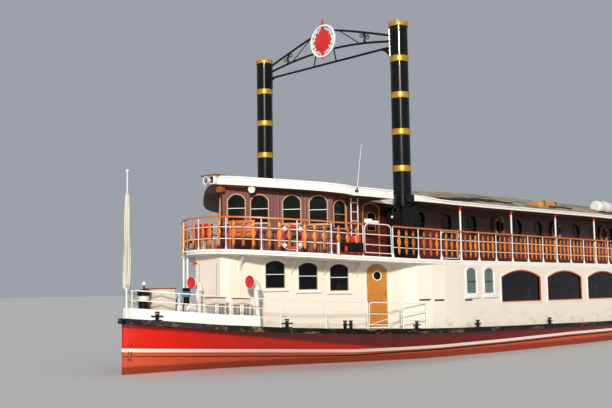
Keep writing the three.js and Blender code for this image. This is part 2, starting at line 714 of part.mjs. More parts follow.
// Each side of the pipe carries one point of the crown
function crown(y) {
  const rings = [];
  for (let i = 0; i < 2 * FUNNEL_SIDES; i++) {
    const angle = (Math.PI * i) / FUNNEL_SIDES;
    const top = FUNNEL_TOP + (i % 2 ? CROWN.peak : CROWN.valley);
    const section = [
      // radius, z
      [CROWN.inner, FUNNEL_TOP], [CROWN.foot, FUNNEL_TOP], [CROWN.lip, top], [CROWN.inner + 30, top],
    ];
    rings.push(section.map(([radius, z]) =>
      v3(FUNNEL_X + radius * Math.cos(angle), y + radius * Math.sin(angle), z)));
  }
  return loft(rings, true);
}

function buildFunnels() {
  const profile = [[0, CASING_TOP + FIT], [FUNNEL_RADIUS, CASING_TOP + FIT]];
  for (const top of BAND_TOPS) {
    const proud = FUNNEL_RADIUS + BAND_PROUD;
    const middle = top - BAND_HEIGHT / 2;
    profile.push([FUNNEL_RADIUS, top - BAND_HEIGHT], [proud, middle], [FUNNEL_RADIUS, top]);
  }
  const bore = FUNNEL_RADIUS - 30;
  const rim = FUNNEL_TOP + 40;
  profile.push([FUNNEL_RADIUS, rim], [bore, rim]);
  profile.push([bore, FUNNEL_TOP - BORE_DEPTH], [0, FUNNEL_TOP - BORE_DEPTH]);
  for (const [name, side] of SIDES) {
    const y = side * FUNNEL_Y;
    const pipe = turned(profile, FUNNEL_X, y, FUNNEL_SIDES);
    add(`funnel_${name}`, pipe.add(crown(y)), "black");
    const casing = centredBox(FUNNEL_X, side * FUNNEL_Y, 820, 640, 3000, CASING_TOP);
    add(`funnel_casing_${name}`, casing.intersect(overUpperDeck), "black");
  }
}

// Truss between the funnels: a straight lower chord, a round arch, a steeper one like rafters, and struts.
// It stands a little forward of the funnels' axes and ends on a saddle plate round each funnel.
const CHORD = 42;
const CHORD_FACE = CHORD * Math.SQRT1_2;
const TRUSS_X = FUNNEL_X + 90;
const TRUSS_BOTTOM = 10350;
const arched = (ends, crest, power) => (y) => ends + (crest - ends) * (1 - Math.abs(y / FUNNEL_Y) ** power);
const MIDDLE_ARCH = arched(10490, 10845, 2);
const UPPER_ARCH = arched(10660, 11600, 1.15);
const LOWER_CHORD = () => TRUSS_BOTTOM;
const STRUTS = [
  // lower chord, y on it, upper chord, y on it, radius
  [LOWER_CHORD, 550, MIDDLE_ARCH, 430, 26],
  [MIDDLE_ARCH, 1680, UPPER_ARCH, 680, 20],
  [MIDDLE_ARCH, 1880, UPPER_ARCH, 1880, 34],
];
const SADDLE = { thick: 18, bottom: 10020, top: 10930, inner: 400, outer: 215 };
const GUSSET = [
  // y, drop under the lower chord
  [2400, 0], [2620, -40], [2800, -120], [2900, -230], [2960, -330], [3060, -330], [3060, 0],
];

const onTruss = (y, z) => v3(TRUSS_X, y, z);

function archPath(chord) {
  const path = [];
  for (let step = -6; step <= 6; step++) {
    const y = (step / 6) * FUNNEL_Y;
    path.push(onTruss(y, chord(y)));
  }
  return path;
}

function saddle(side) {
  const radius = FUNNEL_RADIUS + SADDLE.thick;
  const profile = [[0, SADDLE.bottom], [radius, SADDLE.bottom], [radius, SADDLE.top], [0, SADDLE.top]];
  const sleeve = turned(profile, FUNNEL_X, side * FUNNEL_Y, FUNNEL_SIDES);
  const [near, far] = [FUNNEL_Y - SADDLE.inner, FUNNEL_Y - SADDLE.outer];
  const [y0, y1] = side > 0 ? [near, far] : [-far, -near];
  return sleeve.intersect(box(FUNNEL_X - 600, FUNNEL_X + 600, y0, y1, 9000, 12000));
}

function gusset(side) {
  const shape = new THREE.Shape();
  GUSSET.forEach(([y, down], i) => {
    if (i) shape.lineTo(side * y, down);
    else shape.moveTo(side * y, down);
  });
  return upright(shape, onTruss(0, TRUSS_BOTTOM), v3(1, 0, 0), 15, 15);
}

function buildTruss() {
  const section = tubeSection(CHORD);
  const up = v3(1, 0, 0);
  const bodies = [MIDDLE_ARCH, UPPER_ARCH].map((chord) => sweep(archPath(chord), section, { up }));
  bodies.push(bar(onTruss(-FUNNEL_Y, TRUSS_BOTTOM), onTruss(FUNNEL_Y, TRUSS_BOTTOM), CHORD, 6));
  for (const [, side] of SIDES) {
    for (const [low, lowY, high, highY, radius] of STRUTS) {
      bodies.push(bar(onTruss(side * lowY, low(lowY)), onTruss(side * highY, high(highY)), radius, 4));
    }
    bodies.push(saddle(side), gusset(side));
  }
  const seat = FUNNEL_RADIUS + FIT;
  const pipe = [[0, 9000], [seat, 9000], [seat, 12000], [0, 12000]];
  const pipes = SIDES.map(([, side]) => turned(pipe, FUNNEL_X, side * FUNNEL_Y, FUNNEL_SIDES));
  add("funnel_truss", cut(join(bodies), pipes), "black");
}

// Medallion on the front of the truss: a compass rose on a disc
const MEDALLION = { z: 11180, radius: 600, x: TRUSS_X + 45, thick: 50 };
const ROSE = { points: 8, inner: 190, outer: 400, spikeUp: 870, spikeDown: 720 };

function buildMedallion() {
  const { z, radius, x, thick } = MEDALLION;
  const disc = bar(v3(x, 0, z), v3(x + thick, 0, z), radius, 32);
  const rose = new THREE.Shape();
  for (let i = 0; i < 2 * ROSE.points; i++) {
    const angle = (Math.PI * i) / ROSE.points;
    let reach = i % 2 ? ROSE.inner : ROSE.outer;
    if (i === 0) reach = ROSE.spikeUp;
    if (i === ROSE.points) reach = ROSE.spikeDown;
    const [across, up] = [reach * Math.sin(angle), reach * Math.cos(angle)];
    if (i === 0) rose.moveTo(across, up);
    else rose.lineTo(across, up);
  }
  const star = upright(rose, v3(x + thick, 0, z), v3(1, 0, 0), thick, 30);
  const feet = [-350, 350].map((y) => {
    const at = MIDDLE_ARCH(y);
    return box(TRUSS_X + CHORD_FACE + FIT, x + 5, y - 25, y + 25, at - 25, at + 25);
  });
  add("medallion", join([disc, star, ...feet]), "white");
}

// Stern wheel on two beams
const WHEEL = { x: -15600, z: 1350, radius: 1850, half: 2450, arms: 10 };
const SHAFT_RADIUS = 130;
const SHAFT_PLAY = 0.6;
const SHAFT_SIDES = 48;
const WHEEL_FRAMES_Y = [-2300, 0, 2300];
const WHEEL_HOOP = { inner: 1210, outer: 1280 };
const BEAM = { inner: 2760, outer: 3020, bottom: 900, top: 1180 };

function onWheel(angle, geometry) {
  geometry.rotateY(-angle);
  geometry.translate(WHEEL.x, 0, WHEEL.z);
  return solid(geometry);
}

function buildWheel() {
  const { x, z, radius, half, arms } = WHEEL;
  const bodies = [bar(v3(x, -BEAM.outer - 60, z), v3(x, BEAM.outer + 60, z), SHAFT_RADIUS, SHAFT_SIDES)];
  for (const y of WHEEL_FRAMES_Y) {
    bodies.push(bar(v3(x, y - 80, z), v3(x, y + 80, z), 320, arms));
    const hoop = bar(v3(x, y - 25, z), v3(x, y + 25, z), WHEEL_HOOP.outer, arms);
    bodies.push(hoop.subtract(bar(v3(x, y - 40, z), v3(x, y + 40, z), WHEEL_HOOP.inner, arms)));
  }
  for (let i = 0; i < arms; i++) {
    const angle = (2 * Math.PI * i) / arms;
    for (const y of WHEEL_FRAMES_Y) {
      const arm = new THREE.BoxGeometry(1700, 60, 90).translate(850, y, 0);
      bodies.push(onWheel(angle, arm));
    }
    const float = new THREE.BoxGeometry(520, 2 * half, 50).translate(radius - 260, 0, 20);
    bodies.push(onWheel(angle, float));
  }
  add("paddle_wheel", join(bodies), "red");
}

function buildBeams() {
  const { inner, outer, bottom, top } = BEAM;
  const { x, z } = WHEEL;
  for (const [name, side] of SIDES) {
    const [y0, y1] = side > 0 ? [inner, outer] : [-outer, -inner];
    const beam = box(STERN_X, HOUSE_AFT_X - 100, y0, y1, bottom, top);
    const block = centredBox(x, (y0 + y1) / 2, 560, y1 - y0, bottom, z + 230);
    const knee = box(TRANSOM_X - 900, TRANSOM_X - FIT, y0, y1, 500, bottom + 10);
    const bore = bar(v3(x, y0 - 10, z), v3(x, y1 + 10, z), SHAFT_RADIUS + SHAFT_PLAY, SHAFT_SIDES);
    add(`wheel_beam_${name}`, cut(join([beam, block, knee]), [bore]), "black");
  }
}

// Rails: stanchions and two middle rails, with pointed balusters on the upper one, under a wooden handrail
const RAIL_INSET = 60;
const RAIL_TUBE = 20;
const HANDRAIL = { half: 38, thick: 44 };
const LOW_RAIL = { lift: 320, half: 14, inner: 19, outer: 5 };
const HIGH_RAIL = { lift: 670, half: 16 };
const BALUSTER = { low: 100, high: 885, half: 75, shares: [0.22, 0.5, 0.78] };
const UPPER_GATE = { from: 10560, to: 11640 };
const POST_PITCH = 3 * BAY;
const LEVEL_AFT_OF_X = 8000;
const POST_FORE_X = UPPER_GATE.from - POST_PITCH;
const POST_INSET = 85;
const POST_SIZE = 70;

function railPath(xs) {
  return xs.map((x) => v3(x, deckHalf(x) - RAIL_INSET, upperDeckZ(x)));
}

function around(path) {
  return [...path, ...path.map((p) => v3(p.x, -p.y, p.z)).reverse()];
}

// Places spaced evenly along a plan path, each with the path's heading there
function spaced(path, pitch) {
  const length = path.slice(1).reduce((sum, p, i) => sum + p.distanceTo(path[i]), 0);
  const gap = length / Math.round(length / pitch) - 1e-6;
  const places = [];
  let left = 0;
  for (let i = 1; i < path.length; i++) {
    const along = path[i].clone().sub(path[i - 1]);
    const run = along.length();
    const heading = Math.atan2(along.y, along.x);
    let at = left;
    for (; at <= run; at += gap) {
      places.push({ at: path[i - 1].clone().lerp(path[i], at / run), heading });
    }
    left = at - run;
  }
  return places;
}

// A square post turned to the heading of its rail
function post({ at, heading }, half, z0, z1) {
  const geometry = new THREE.BoxGeometry(2 * half, 2 * half, z1 - z0);
  geometry.rotateZ(heading);
  geometry.translate(at.x, at.y, at.z + (z0 + z1) / 2);
  return solid(geometry);
}

// The path carried on a little past both ends
function extended(path, reach) {
  const beyond = (end, inner) => end.clone().sub(inner).setLength(reach).add(end);
  return [beyond(path[0], path[1]), ...path, beyond(path.at(-1), path.at(-2))];
}

// Reads a path by its run: the place there, and the level vector to its right, mitred at a corner
function runOf(path) {
  const corners = [0];
  for (let i = 1; i < path.length; i++) corners.push(corners[i - 1] + path[i].distanceTo(path[i - 1]));
  const right = (i) => path[i + 1].clone().sub(path[i]).cross(v3(0, 0, 1)).normalize();
  const read = (run) => {
    const next = Math.max(1, corners.findIndex((corner) => corner >= run - 1e-6));
    const part = (run - corners[next - 1]) / (corners[next] - corners[next - 1]);
    const at = path[next - 1].clone().lerp(path[next], part);
    const side = right(next - 1);
    if (part < 1 - 1e-9 || next === path.length - 1) return { at, side };
    const mitred = side.clone().add(right(next)).normalize();
    return { at, side: mitred.divideScalar(mitred.dot(side)) };
  };
  return { corners, read };
}

// The upper middle rail and its balusters: one skin of three-cornered rings that widens at each baluster.
// outward is 1 where the path has the ship on its left, and -1 where it has the ship on its right.
function balusterRail(path, outward) {
  const { corners, read } = runOf(path);
  const bays = Math.round(corners.at(-1) / BAY);
  const rail = [HIGH_RAIL.lift - HIGH_RAIL.half, HIGH_RAIL.lift + HIGH_RAIL.half];
  const keys = [[0, ...rail]];
  for (let bay = 0; bay < bays; bay++) {
    for (const share of BALUSTER.shares) {
      const middle = ((bay + share) * corners.at(-1)) / bays;
      keys.push([middle - BALUSTER.half, ...rail]);
      keys.push([middle, BALUSTER.low, BALUSTER.high]);
      keys.push([middle + BALUSTER.half, ...rail]);
    }
  }
  keys.push([corners.at(-1), ...rail]);
  const low = tabled(keys.map(([run, bottom]) => [run, bottom]));
  const high = tabled(keys.map(([run, , top]) => [run, top]));
  const runs = [...new Set([...corners, ...keys.map(([run]) => run)])].sort((a, b) => a - b);
  const apart = runs.filter((run, i) => i === 0 || run - runs[i - 1] > 0.5);
  return loft(apart.map((run) => {
    const { at, side } = read(run);
    const [bottom, top] = [low(run), high(run)];
    const out = side.clone().multiplyScalar(outward * HIGH_RAIL.half);
    const corner = (lift, share) => at.clone().addScaledVector(out, share).add(v3(0, 0, lift));
    return [corner(bottom, 1), corner(top, 1), corner((bottom + top) / 2, -1)];
  }));
}

function railFrame(path, outward) {
  const { lift, half, inner, outer } = LOW_RAIL;
  const lowSection = rectSection(-outward * inner, -outward * outer, lift - half, lift + half);
  const bodies = [sweep(path, lowSection), balusterRail(path, outward)];
  for (const place of spaced(path, BAY)) bodies.push(post(place, RAIL_TUBE, -200, RAIL_HEIGHT - 5));
  const underside = RAIL_HEIGHT - HANDRAIL.thick - FIT;
  const over = rectSection(-HANDRAIL.half - 4, HANDRAIL.half + 4, underside, RAIL_HEIGHT + 50);
  return join(bodies).subtract(sweep(extended(path, 60), over));
}

function buildUpperRails() {
  const foreXs = stations(UPPER_GATE.to, DECK_NOSE_X - RAIL_INSET, DECK_CURVE);
  const fore = around(railPath(foreXs));
  const aftXs = [DECK_AFT_X + RAIL_INSET, ...stations(LEVEL_AFT_OF_X, UPPER_GATE.from, [9000])];
  const aft = around(railPath(aftXs.reverse()));
  const hand = rectSection(-HANDRAIL.half, HANDRAIL.half, RAIL_HEIGHT - HANDRAIL.thick, RAIL_HEIGHT);
  add("handrail_fore", sweep(fore, hand), "varnish");
  const lugs = SIDES.map(([, side]) => gateLug(...upperGateEnds(side)));
  add("upper_rail_fore", railFrame(fore, -1).intersect(overUpperDeck), "white");
  const columns = [];
  for (let x = POST_FORE_X; x > ROOF_AFT_X; x -= POST_PITCH) {
    for (const [, side] of SIDES) {
      const y = side * (DECK_HALF - RAIL_INSET - POST_INSET);
      columns.push(centredBox(x, y, POST_SIZE, POST_SIZE, 3000, 7000));
      const z = upperDeckZ(x) + HIGH_RAIL.lift;
      columns.push(centredBox(x, y + (side * POST_INSET) / 2, 30, POST_INSET, z - 10, z + 10));
    }
  }
  const aftFrame = join([railFrame(aft, 1), ...lugs, ...columns]);
  add("upper_rail_aft", aftFrame.intersect(upperStorey), "white");
  add("handrail_aft", sweep(aft, hand), "varnish");
}

// A tube gate between two rail ends. It turns on its hinge tube, which stands on a lug of the rail.
const GATE = { play: 45, pivot: 62, lugLift: 50, lugThick: 12, sides: 4, brace: 14 };

function gatePlaces(hingeEnd, latchEnd) {
  const along = latchEnd.clone().sub(hingeEnd).normalize();
  const hinge = hingeEnd.clone().addScaledVector(along, GATE.pivot);
  const latch = latchEnd.clone().addScaledVector(along, -GATE.play - RAIL_TUBE);
  return { hinge, latch };
}

function gateFrame(hingeEnd, latchEnd, height, bars, brace) {
  const { hinge, latch } = gatePlaces(hingeEnd, latchEnd);
  const foot = hingeEnd.z + GATE.lugLift + GATE.lugThick + FIT;
  const up = (end, lift) => v3(end.x, end.y, end.z + lift);
  const pole = (from, to, radius) => bar(from, to, radius, GATE.sides);
  const bodies = [
    pole(v3(hinge.x, hinge.y, foot), up(hinge, height), RAIL_TUBE),
    pole(up(latch, bars[0]), up(latch, height), RAIL_TUBE),
  ];
  for (const lift of bars) bodies.push(pole(up(hinge, lift), up(latch, lift), RAIL_TUBE - 4));
  if (brace) bodies.push(pole(up(hinge, bars[0]), up(latch, bars.at(-1)), GATE.brace));
  return join(bodies);
}

function gateLug(hingeEnd, latchEnd) {
  const { hinge } = gatePlaces(hingeEnd, latchEnd);
  const z = hingeEnd.z + GATE.lugLift;
  const path = [v3(hingeEnd.x, hingeEnd.y, z), v3(hinge.x, hinge.y, z)];
  return sweep(extended(path, 15), rectSection(-18, 18, 0, GATE.lugThick));
}

// The upper gates turn on their aft ends
function upperGateEnds(side) {
  return [UPPER_GATE.from, UPPER_GATE.to].map((x) =>
    v3(x, side * (deckHalf(x) - RAIL_INSET), upperDeckZ(x)));
}

function buildUpperGates() {
  for (const [name, side] of SIDES) {
    const frame = gateFrame(...upperGateEnds(side), 1010, [110, 360, 680, 990], false);
    add(`upper_gate_${name}`, frame, "white");
  }
}

// Main deck rails: white tubes outside the forward house, with a gate at each door
const DECK_RAIL = { inset: 113, height: 800, pitch: 1400, bars: [260, 520, 800], foreX: 17700, aftX: 9250 };
const DECK_GATE = { from: 10290, to: 11690 };

function deckRailPath(x0, x1) {
  return stations(x0, x1, HULL_NOSE).map((x) => v3(x, deckEdge(x) - DECK_RAIL.inset, mainDeckZ(x)));
}

function deckRailBodies(path) {
  const section = tubeSection(RAIL_TUBE - 2);
  const bodies = DECK_RAIL.bars.map((lift) => sweep(path.map((p) => v3(p.x, p.y, p.z + lift)), section));
  const ends = path.map((p) => ({ at: p, heading: 0 }));
  const places = [...spaced(path, DECK_RAIL.pitch), ends[0], ends.at(-1)];
  for (const place of places) bodies.push(post(place, RAIL_TUBE, -200, DECK_RAIL.height + 12));
  return bodies;
}

const deckGateEnd = (x, side) => v3(x, side * (deckEdge(x) - DECK_RAIL.inset), mainDeckZ(x));

function buildDeckRails() {
  const bow = around(deckRailPath(DECK_GATE.to, DECK_RAIL.foreX));
  const gateEnds = (side) => [deckGateEnd(DECK_GATE.to, side), deckGateEnd(DECK_GATE.from, side)];
  const lugs = SIDES.map(([, side]) => gateLug(...gateEnds(side)));
  const fore = join([...deckRailBodies(bow), ...lugs]).intersect(overMainDeck);
  add("deck_rail_fore", cutByBulwark(fore), "white");
  for (const [name, side] of SIDES) {
    const path = deckRailPath(DECK_RAIL.aftX, DECK_GATE.from).map((p) => v3(p.x, side * p.y, p.z));
    add(`deck_rail_${name}`, join(deckRailBodies(path)).intersect(overMainDeck), "white");
    add(`deck_gate_${name}`, gateFrame(...gateEnds(side), 800, [120, 450, 780], true), "white");
  }
}

// What stands at the bulwark is cut back to its faces
function cutByBulwark(body) {
  const path = edgePath(BULWARK_AFT_X, BULWARK_FORE_X, BULWARK_INSET, 0);
  return body.subtract(sweep(path, rectSection(-21, 21, -200, BULWARK_HEIGHT + 1)));
}

// Foredeck fittings: places are x, y on the deck
const COWL_HEAD_Z = 2550;
const COWLS = [
  // name, x, y, heading
  ["port", 14440, 1700, -0.1], ["centre", 15140, -180, -0.05],
];

function buildCowls() {
  for (const [name, x, y, turn] of COWLS) {
    const base = mainDeckZ(x);
    const trunk = bar(v3(x, y, base - 100), v3(x, y, COWL_HEAD_Z), 100, 10);
    const facing = v3(Math.cos(turn), Math.sin(turn), 0);
    const head = v3(x, y, COWL_HEAD_Z);
    const spin = new THREE.Quaternion().setFromUnitVectors(v3(0, 1, 0), facing);
    // A cone on the cowl's axis: its two radii, and the two ends' distances from the head
    const cone = (near, far, from, to) => {
      const geometry = new THREE.CylinderGeometry(far, near, to - from, 10).applyQuaternion(spin);
      const middle = head.clone().addScaledVector(facing, (from + to) / 2);
      return solid(geometry.translate(middle.x, middle.y, middle.z));
    };
    const ball = new THREE.SphereGeometry(128, 8, 5).translate(head.x, head.y, head.z);
    const body = cut(join([trunk, solid(ball), cone(110, 190, -60, 340)]), [cone(118, 172, 140, 420)]);
    add(`cowl_${name}`, body.intersect(overMainDeck), "white");
  }
}

const DECK_BOXES = [
  // name, x, y, size x, size y, height, paint
  ["bow_locker", 16790, 100, 520, 760, 820, "cream"],
  ["deck_box_centre", 15420, 950, 360, 520, 720, "cream"],
  ["deck_box_port", 14890, 1500, 360, 420, 720, "cream"],
];

function buildForedeck() {
  for (const [name, x, y, sizeX, sizeY, height, paint] of DECK_BOXES) {
    const top = mainDeckZ(x) + height;
    add(name, centredBox(x, y, sizeX, sizeY, mainDeckZ(x) - 200, top).intersect(overMainDeck), paint);
  }
  const x = 16190;
  const y = 450;
  const z = mainDeckZ(x);
  const windlass = join([
    centredBox(x, y, 420, 700, z - 200, z + 90),
    centredBox(x, y - 220, 260, 60, z, z + 560),
    centredBox(x, y + 220, 260, 60, z, z + 560),
    bar(v3(x, y - 420, z + 430), v3(x, y + 420, z + 430), 110, 16),
    bar(v3(x, y + 180, z + 500), v3(x, y + 180, z + 900), 60, 12),
  ]);
  add("windlass", windlass.intersect(overMainDeck), "iron");
}

const JACKSTAFF = { x: 17880, top: 5750, radius: 28 };
const FLAG = { top: 5100, waist: 3700, bottom: 2450, radius: 120 };

function buildJackstaff() {
  const { x, top, radius } = JACKSTAFF;
  const base = mainDeckZ(x);
  const staff = join([
    bar(v3(x, 0, base - 100), v3(x, 0, top), radius, 12),
    turned([[0, top - 20], [60, top], [0, top + 60]], x, 0, 12),
  ]);
  add("jackstaff", cutByBulwark(staff.intersect(overMainDeck)), "white");
  const profile = [
    // radius, z
    [0, FLAG.bottom], [FLAG.radius, FLAG.bottom], [FLAG.radius * 0.8, FLAG.waist], [40, FLAG.top],
    [0, FLAG.top],
  ];
  const hole = bar(v3(x, 0, FLAG.bottom - 50), v3(x, 0, FLAG.top + 50), radius + FIT, 12);
  add("furled_flag", turned(profile, x, 0, 12).subtract(hole), "canvas");
}

// Struts that carry the upper deck's nose, the ladder to the roof, and the rafts on the roof
const LADDER = { x: 11450, y: 2960 };
const BOW_STRUTS = { x: 15050, y: [-1060, -870], radius: 35 };

function buildStrutsAndLadder() {
  const strut = BOW_STRUTS;
  const middle = (strut.y[0] + strut.y[1]) / 2;
  const ends = [mainDeckZ(strut.x), upperDeckZ(strut.x) - DECK_PLATE];
  const parts = strut.y.map((y) => bar(v3(strut.x, y, 1000), v3(strut.x, y, 4000), strut.radius, 8));
  for (const z of ends) parts.push(centredBox(strut.x, middle, 110, 260, z - 40, z + 40));
  add("bow_struts", join(parts).intersect(lowerStorey), "white");
  const { x, y } = LADDER;
  const z = upperDeckZ(x);
  const sides = [-160, 160].map((off) => bar(v3(x + off, y, z - 100), v3(x + off, y, 6000), 20, 4));
  const rungs = [];
  for (let lift = 250; lift < 1800; lift += 290) {
    rungs.push(bar(v3(x - 160, y, z + lift), v3(x + 160, y, z + lift), 14, 4));
  }
  add("roof_ladder", join([...sides, ...rungs]).intersect(upperStorey), "white");
}

const ROOF_BOXES = [
  // name, x, y, size x, size y, height, paint
  ["raft_box", 400, 3300, 1600, 700, 500, "orange"],
  ["raft_canister", -4800, 3300, 1500, 600, 760, "white"],
];

function overRoof() {
  const rings = stations(ROOF_AFT_X, DECK_BOW_CENTRE_X).map((x) => {
    const edge = roofZ(x) + FASCIA(x) + FIT;
    const half = roofHalf(x);
    const ring = [v3(x, 6000, edge), v3(x, half, edge)];
    for (const [share, rise] of CAMBER) ring.push(v3(x, half * share, edge + camber(x) * rise));
    ring.push(v3(x, 0, edge + camber(x)));
    ring.push(v3(x, 0, 9000), v3(x, 6000, 9000));
    return ring;
  });
  return loft(rings);
}

function buildRoofBoxes() {
  const above = overRoof();
  for (const [name, x, y, sizeX, sizeY, height, paint] of ROOF_BOXES) {
    const base = roofZ(x) + FASCIA(x);
    const block = centredBox(x, y, sizeX, sizeY, base - 50, base + height);
    add(name, block.intersect(above), paint);
  }
}

// The engine and boiler, one heavy block inside the house on the main deck
function buildEngine() {
  add("engine_block", box(5200, 9200, -1200, 1200, 900, 2600).intersect(lowerStorey), "iron");
}

buildHull();
buildStrake();
buildBulwark();
buildHouse();
buildHouseDoors();
buildHouseGlass();
buildUpperDeck();
buildSaloon();
buildSaloonDoors();
buildSaloonGlass();
buildRoof();
buildSearchlight();
buildUpperRails();
buildUpperGates();
buildDeckRails();
buildFunnels();
buildTruss();
buildMedallion();
buildWheel();
buildBeams();
buildRudders();
buildCowls();
buildForedeck();
buildJackstaff();
buildStrutsAndLadder();
buildRoofBoxes();
buildEngine();

export default steamer;
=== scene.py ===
"""A stern-wheel paddle steamer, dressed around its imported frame. Metres, +X forward, +Y port, +Z up."""

import math
import random

import bpy
from bpy.props import FloatProperty, FloatVectorProperty, IntProperty, PointerProperty
from mathutils import Matrix, Vector


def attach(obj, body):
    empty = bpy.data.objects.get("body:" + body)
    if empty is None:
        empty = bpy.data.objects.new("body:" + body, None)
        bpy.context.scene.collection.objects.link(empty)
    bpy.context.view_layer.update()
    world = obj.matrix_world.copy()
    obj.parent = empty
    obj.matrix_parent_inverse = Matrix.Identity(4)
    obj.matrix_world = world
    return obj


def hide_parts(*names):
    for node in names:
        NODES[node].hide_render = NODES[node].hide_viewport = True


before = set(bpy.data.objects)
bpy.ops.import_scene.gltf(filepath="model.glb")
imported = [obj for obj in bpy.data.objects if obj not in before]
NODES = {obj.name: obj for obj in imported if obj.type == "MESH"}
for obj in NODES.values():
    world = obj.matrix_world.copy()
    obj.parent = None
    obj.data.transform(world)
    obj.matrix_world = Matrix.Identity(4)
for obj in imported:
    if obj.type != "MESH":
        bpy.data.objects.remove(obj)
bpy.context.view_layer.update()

bl_info = {
    "name": "Paddle steamer",
    "version": (1, 0, 0),
    "blender": (4, 5, 0),
    "location": "View3D > Sidebar > Steamer",
    "description": "Models and paints a two-deck paddle steamer around its packed frame",
    "category": "Object",
}

VESSEL = "vessel"
SIDES = {"port": 1, "starboard": -1}
MIRROR = Matrix.Scale(-1, 4, (0, 1, 0))

# Camera: place, then the turn of its view, in degrees
CAMERA_AT = (32.044, 21.107, 2.299)
CAMERA_YAW, CAMERA_PITCH, CAMERA_ROLL = -135.449, 5.586, -0.782
CAMERA_LENS = 51.56

# Studio: the sun's bearing, height and spread in degrees, its strength and colour, then the sky and floor
SUN_BEARING, SUN_HEIGHT, SUN_SPREAD = 42, 17, 5
SUN_POWER, SUN_COLOUR = 3.0, (1.0, 0.95, 0.87)
SKY_POWER, SKY_COLOUR = 0.42, (0.80, 0.86, 0.95, 1)
FLOOR_SIZE, FLOOR_COLOUR = 900, (0.68, 0.68, 0.67)


def aimed(bearing, height):
    """The direction at a bearing from +X and a height over the horizon, in degrees."""
    level = math.cos(math.radians(height))
    return Vector((math.cos(math.radians(bearing)) * level, math.sin(math.radians(bearing)) * level,
                   math.sin(math.radians(height))))


def linear(name, code):
    """A colour property, from its screen colour such as 'd62a16'."""
    parts = [int(code[i:i + 2], 16) / 255 for i in (0, 2, 4)]
    shades = [c / 12.92 if c <= 0.04045 else ((c + 0.055) / 1.055) ** 2.4 for c in parts]
    return FloatVectorProperty(
        name=name, description=f"Colour of the {name.lower()}", default=shades,
        size=3, min=0, max=1, subtype="COLOR")


def length(name, default, description):
    return FloatProperty(name=name, description=description, default=default, min=0, unit="LENGTH")


class SteamerColours(bpy.types.PropertyGroup):
    """Paints and finishes"""
    hull: linear("Hull red", "e01e06")
    boot: linear("Faded hull red", "cf5230")
    stripe: linear("Hull stripe", "f3efdf")
    cream: linear("House cream", "f4e9d8")
    white: linear("White paint", "f4f1ea")
    maroon: linear("Saloon maroon", "76221a")
    door: linear("House doors", "cf8526")
    varnish: linear("Varnished wood", "d0701c")
    baluster: linear("Balusters", "dc7d14")
    gold: linear("Gold", "d3a03a")
    black: linear("Black paint", "0b0b0c")
    canvas: linear("Roof canvas", "c3b697")
    trim: linear("Saloon window trim", "cda873")
    frame_red: linear("Window frames", "c9541c")
    enamel: linear("Red enamel", "d8281a")
    glass: linear("Window glass", "060808")
    sky: linear("Medallion field", "9fd2e4")
    buoy: linear("Lifebuoys", "d9401c")
    raft: linear("Raft case", "e08a1c")
    flag: linear("Flag cloth", "e9e4d6")
    rope: linear("Mooring rope", "2f8fa6")


class SteamerSizes(bpy.types.PropertyGroup):
    """Sizes of the pieces that are made here"""
    rail_tube: length("Rail tube", 0.017, "Radius of the rail tubes")
    rail_height: length("Rail height", 1.0, "Top of the handrail over the upper deck")
    handrail: length("Handrail", 0.076, "Width of the wooden handrail")
    baluster: length("Baluster width", 0.15, "Widest part of a baluster")
    funnel: length("Funnel radius", 0.3, "Radius of each funnel")
    crown_points: IntProperty(name="Crown points", description="Points on each funnel's crown",
                              default=16, min=6, max=32)
    medallion: length("Medallion radius", 0.6, "Radius of the medallion between the funnels")
    lifebuoy: length("Lifebuoy", 0.37, "Outer radius of a lifebuoy")


def colours():
    return bpy.context.scene.steamer_colours


def sizes():
    return bpy.context.scene.steamer_sizes


# Lines of the ship, as the frame has them

KNOT = 2.0
MAIN_DECK = [
    # x, z
    (-13, 0.88), (-9, 0.84), (-3, 0.83), (1.4, 0.89), (5.4, 0.94), (8, 0.99), (9.4, 1.02),
    (11.4, 1.08), (13.4, 1.16), (15.4, 1.29), (17, 1.44), (18, 1.568),
]
HULL = [
    # x, half breadth at the deck, half breadth at the waterline, keel z
    (-13.3, 3.9, 3.45, -0.52), (-12, 4.08, 3.7, -0.7), (-9.5, 4.19, 3.88, -1.0), (-6, 4.2, 3.93, -1.1),
    (0, 4.2, 3.93, -1.1), (4.4, 4.2, 3.85, -1.1), (8.75, 4.16, 3.32, -1.1), (10.5, 3.99, 2.65, -1.1),
    (12, 3.7, 1.9, -1.1), (14, 3.03, 0.95, -1.09), (15.6, 2.19, 0.47, -1.03), (16.8, 1.34, 0.18, -0.88),
    (17.5, 0.69, 0.08, -0.7), (18, 0.06, 0.04, -0.45),
]
ROOF_PLAN = [
    # x, half breadth
    (8.44, 4.2), (9.4, 4.07), (10.4, 3.88), (11.4, 3.64), (12.3, 3.32), (12.75, 2.92), (13.1, 2.5),
    (13.5, 2.0), (13.9, 1.46), (14.25, 0.98), (14.55, 0.5), (14.7, 0.2), (14.74, 0.06),
]
ROOF_CAMBER = [(5.6, 0.85), (9.4, 0.23)]
TRANSOM_X, STEM_X = -13.3, 18.0
HOUSE_HALF, SALOON_HALF = 4.15, 2.73
DECK_PLATE = 0.14
NOTCH_AFT, NOTCH_FORE = 9.72, 10.59
FUNNEL_X, FUNNEL_Y, FUNNEL_TOP = 9.44, 3.3, 11.0


def tabled(rows, x, column=1):
    """Straight-line reading of a table of rows in rising x."""
    if x <= rows[0][0]:
        return rows[0][column]
    for low, high in zip(rows, rows[1:]):
        if x <= high[0]:
            share = (x - low[0]) / (high[0] - low[0])
            return low[column] + (high[column] - low[column]) * share
    return rows[-1][column]


def knotted(formula, x):
    low = math.floor(x / KNOT) * KNOT
    share = (x - low) / KNOT
    return formula(low) * (1 - share) + formula(low + KNOT) * share


def main_deck_z(x):
    return knotted(lambda at: tabled(MAIN_DECK, at), x)


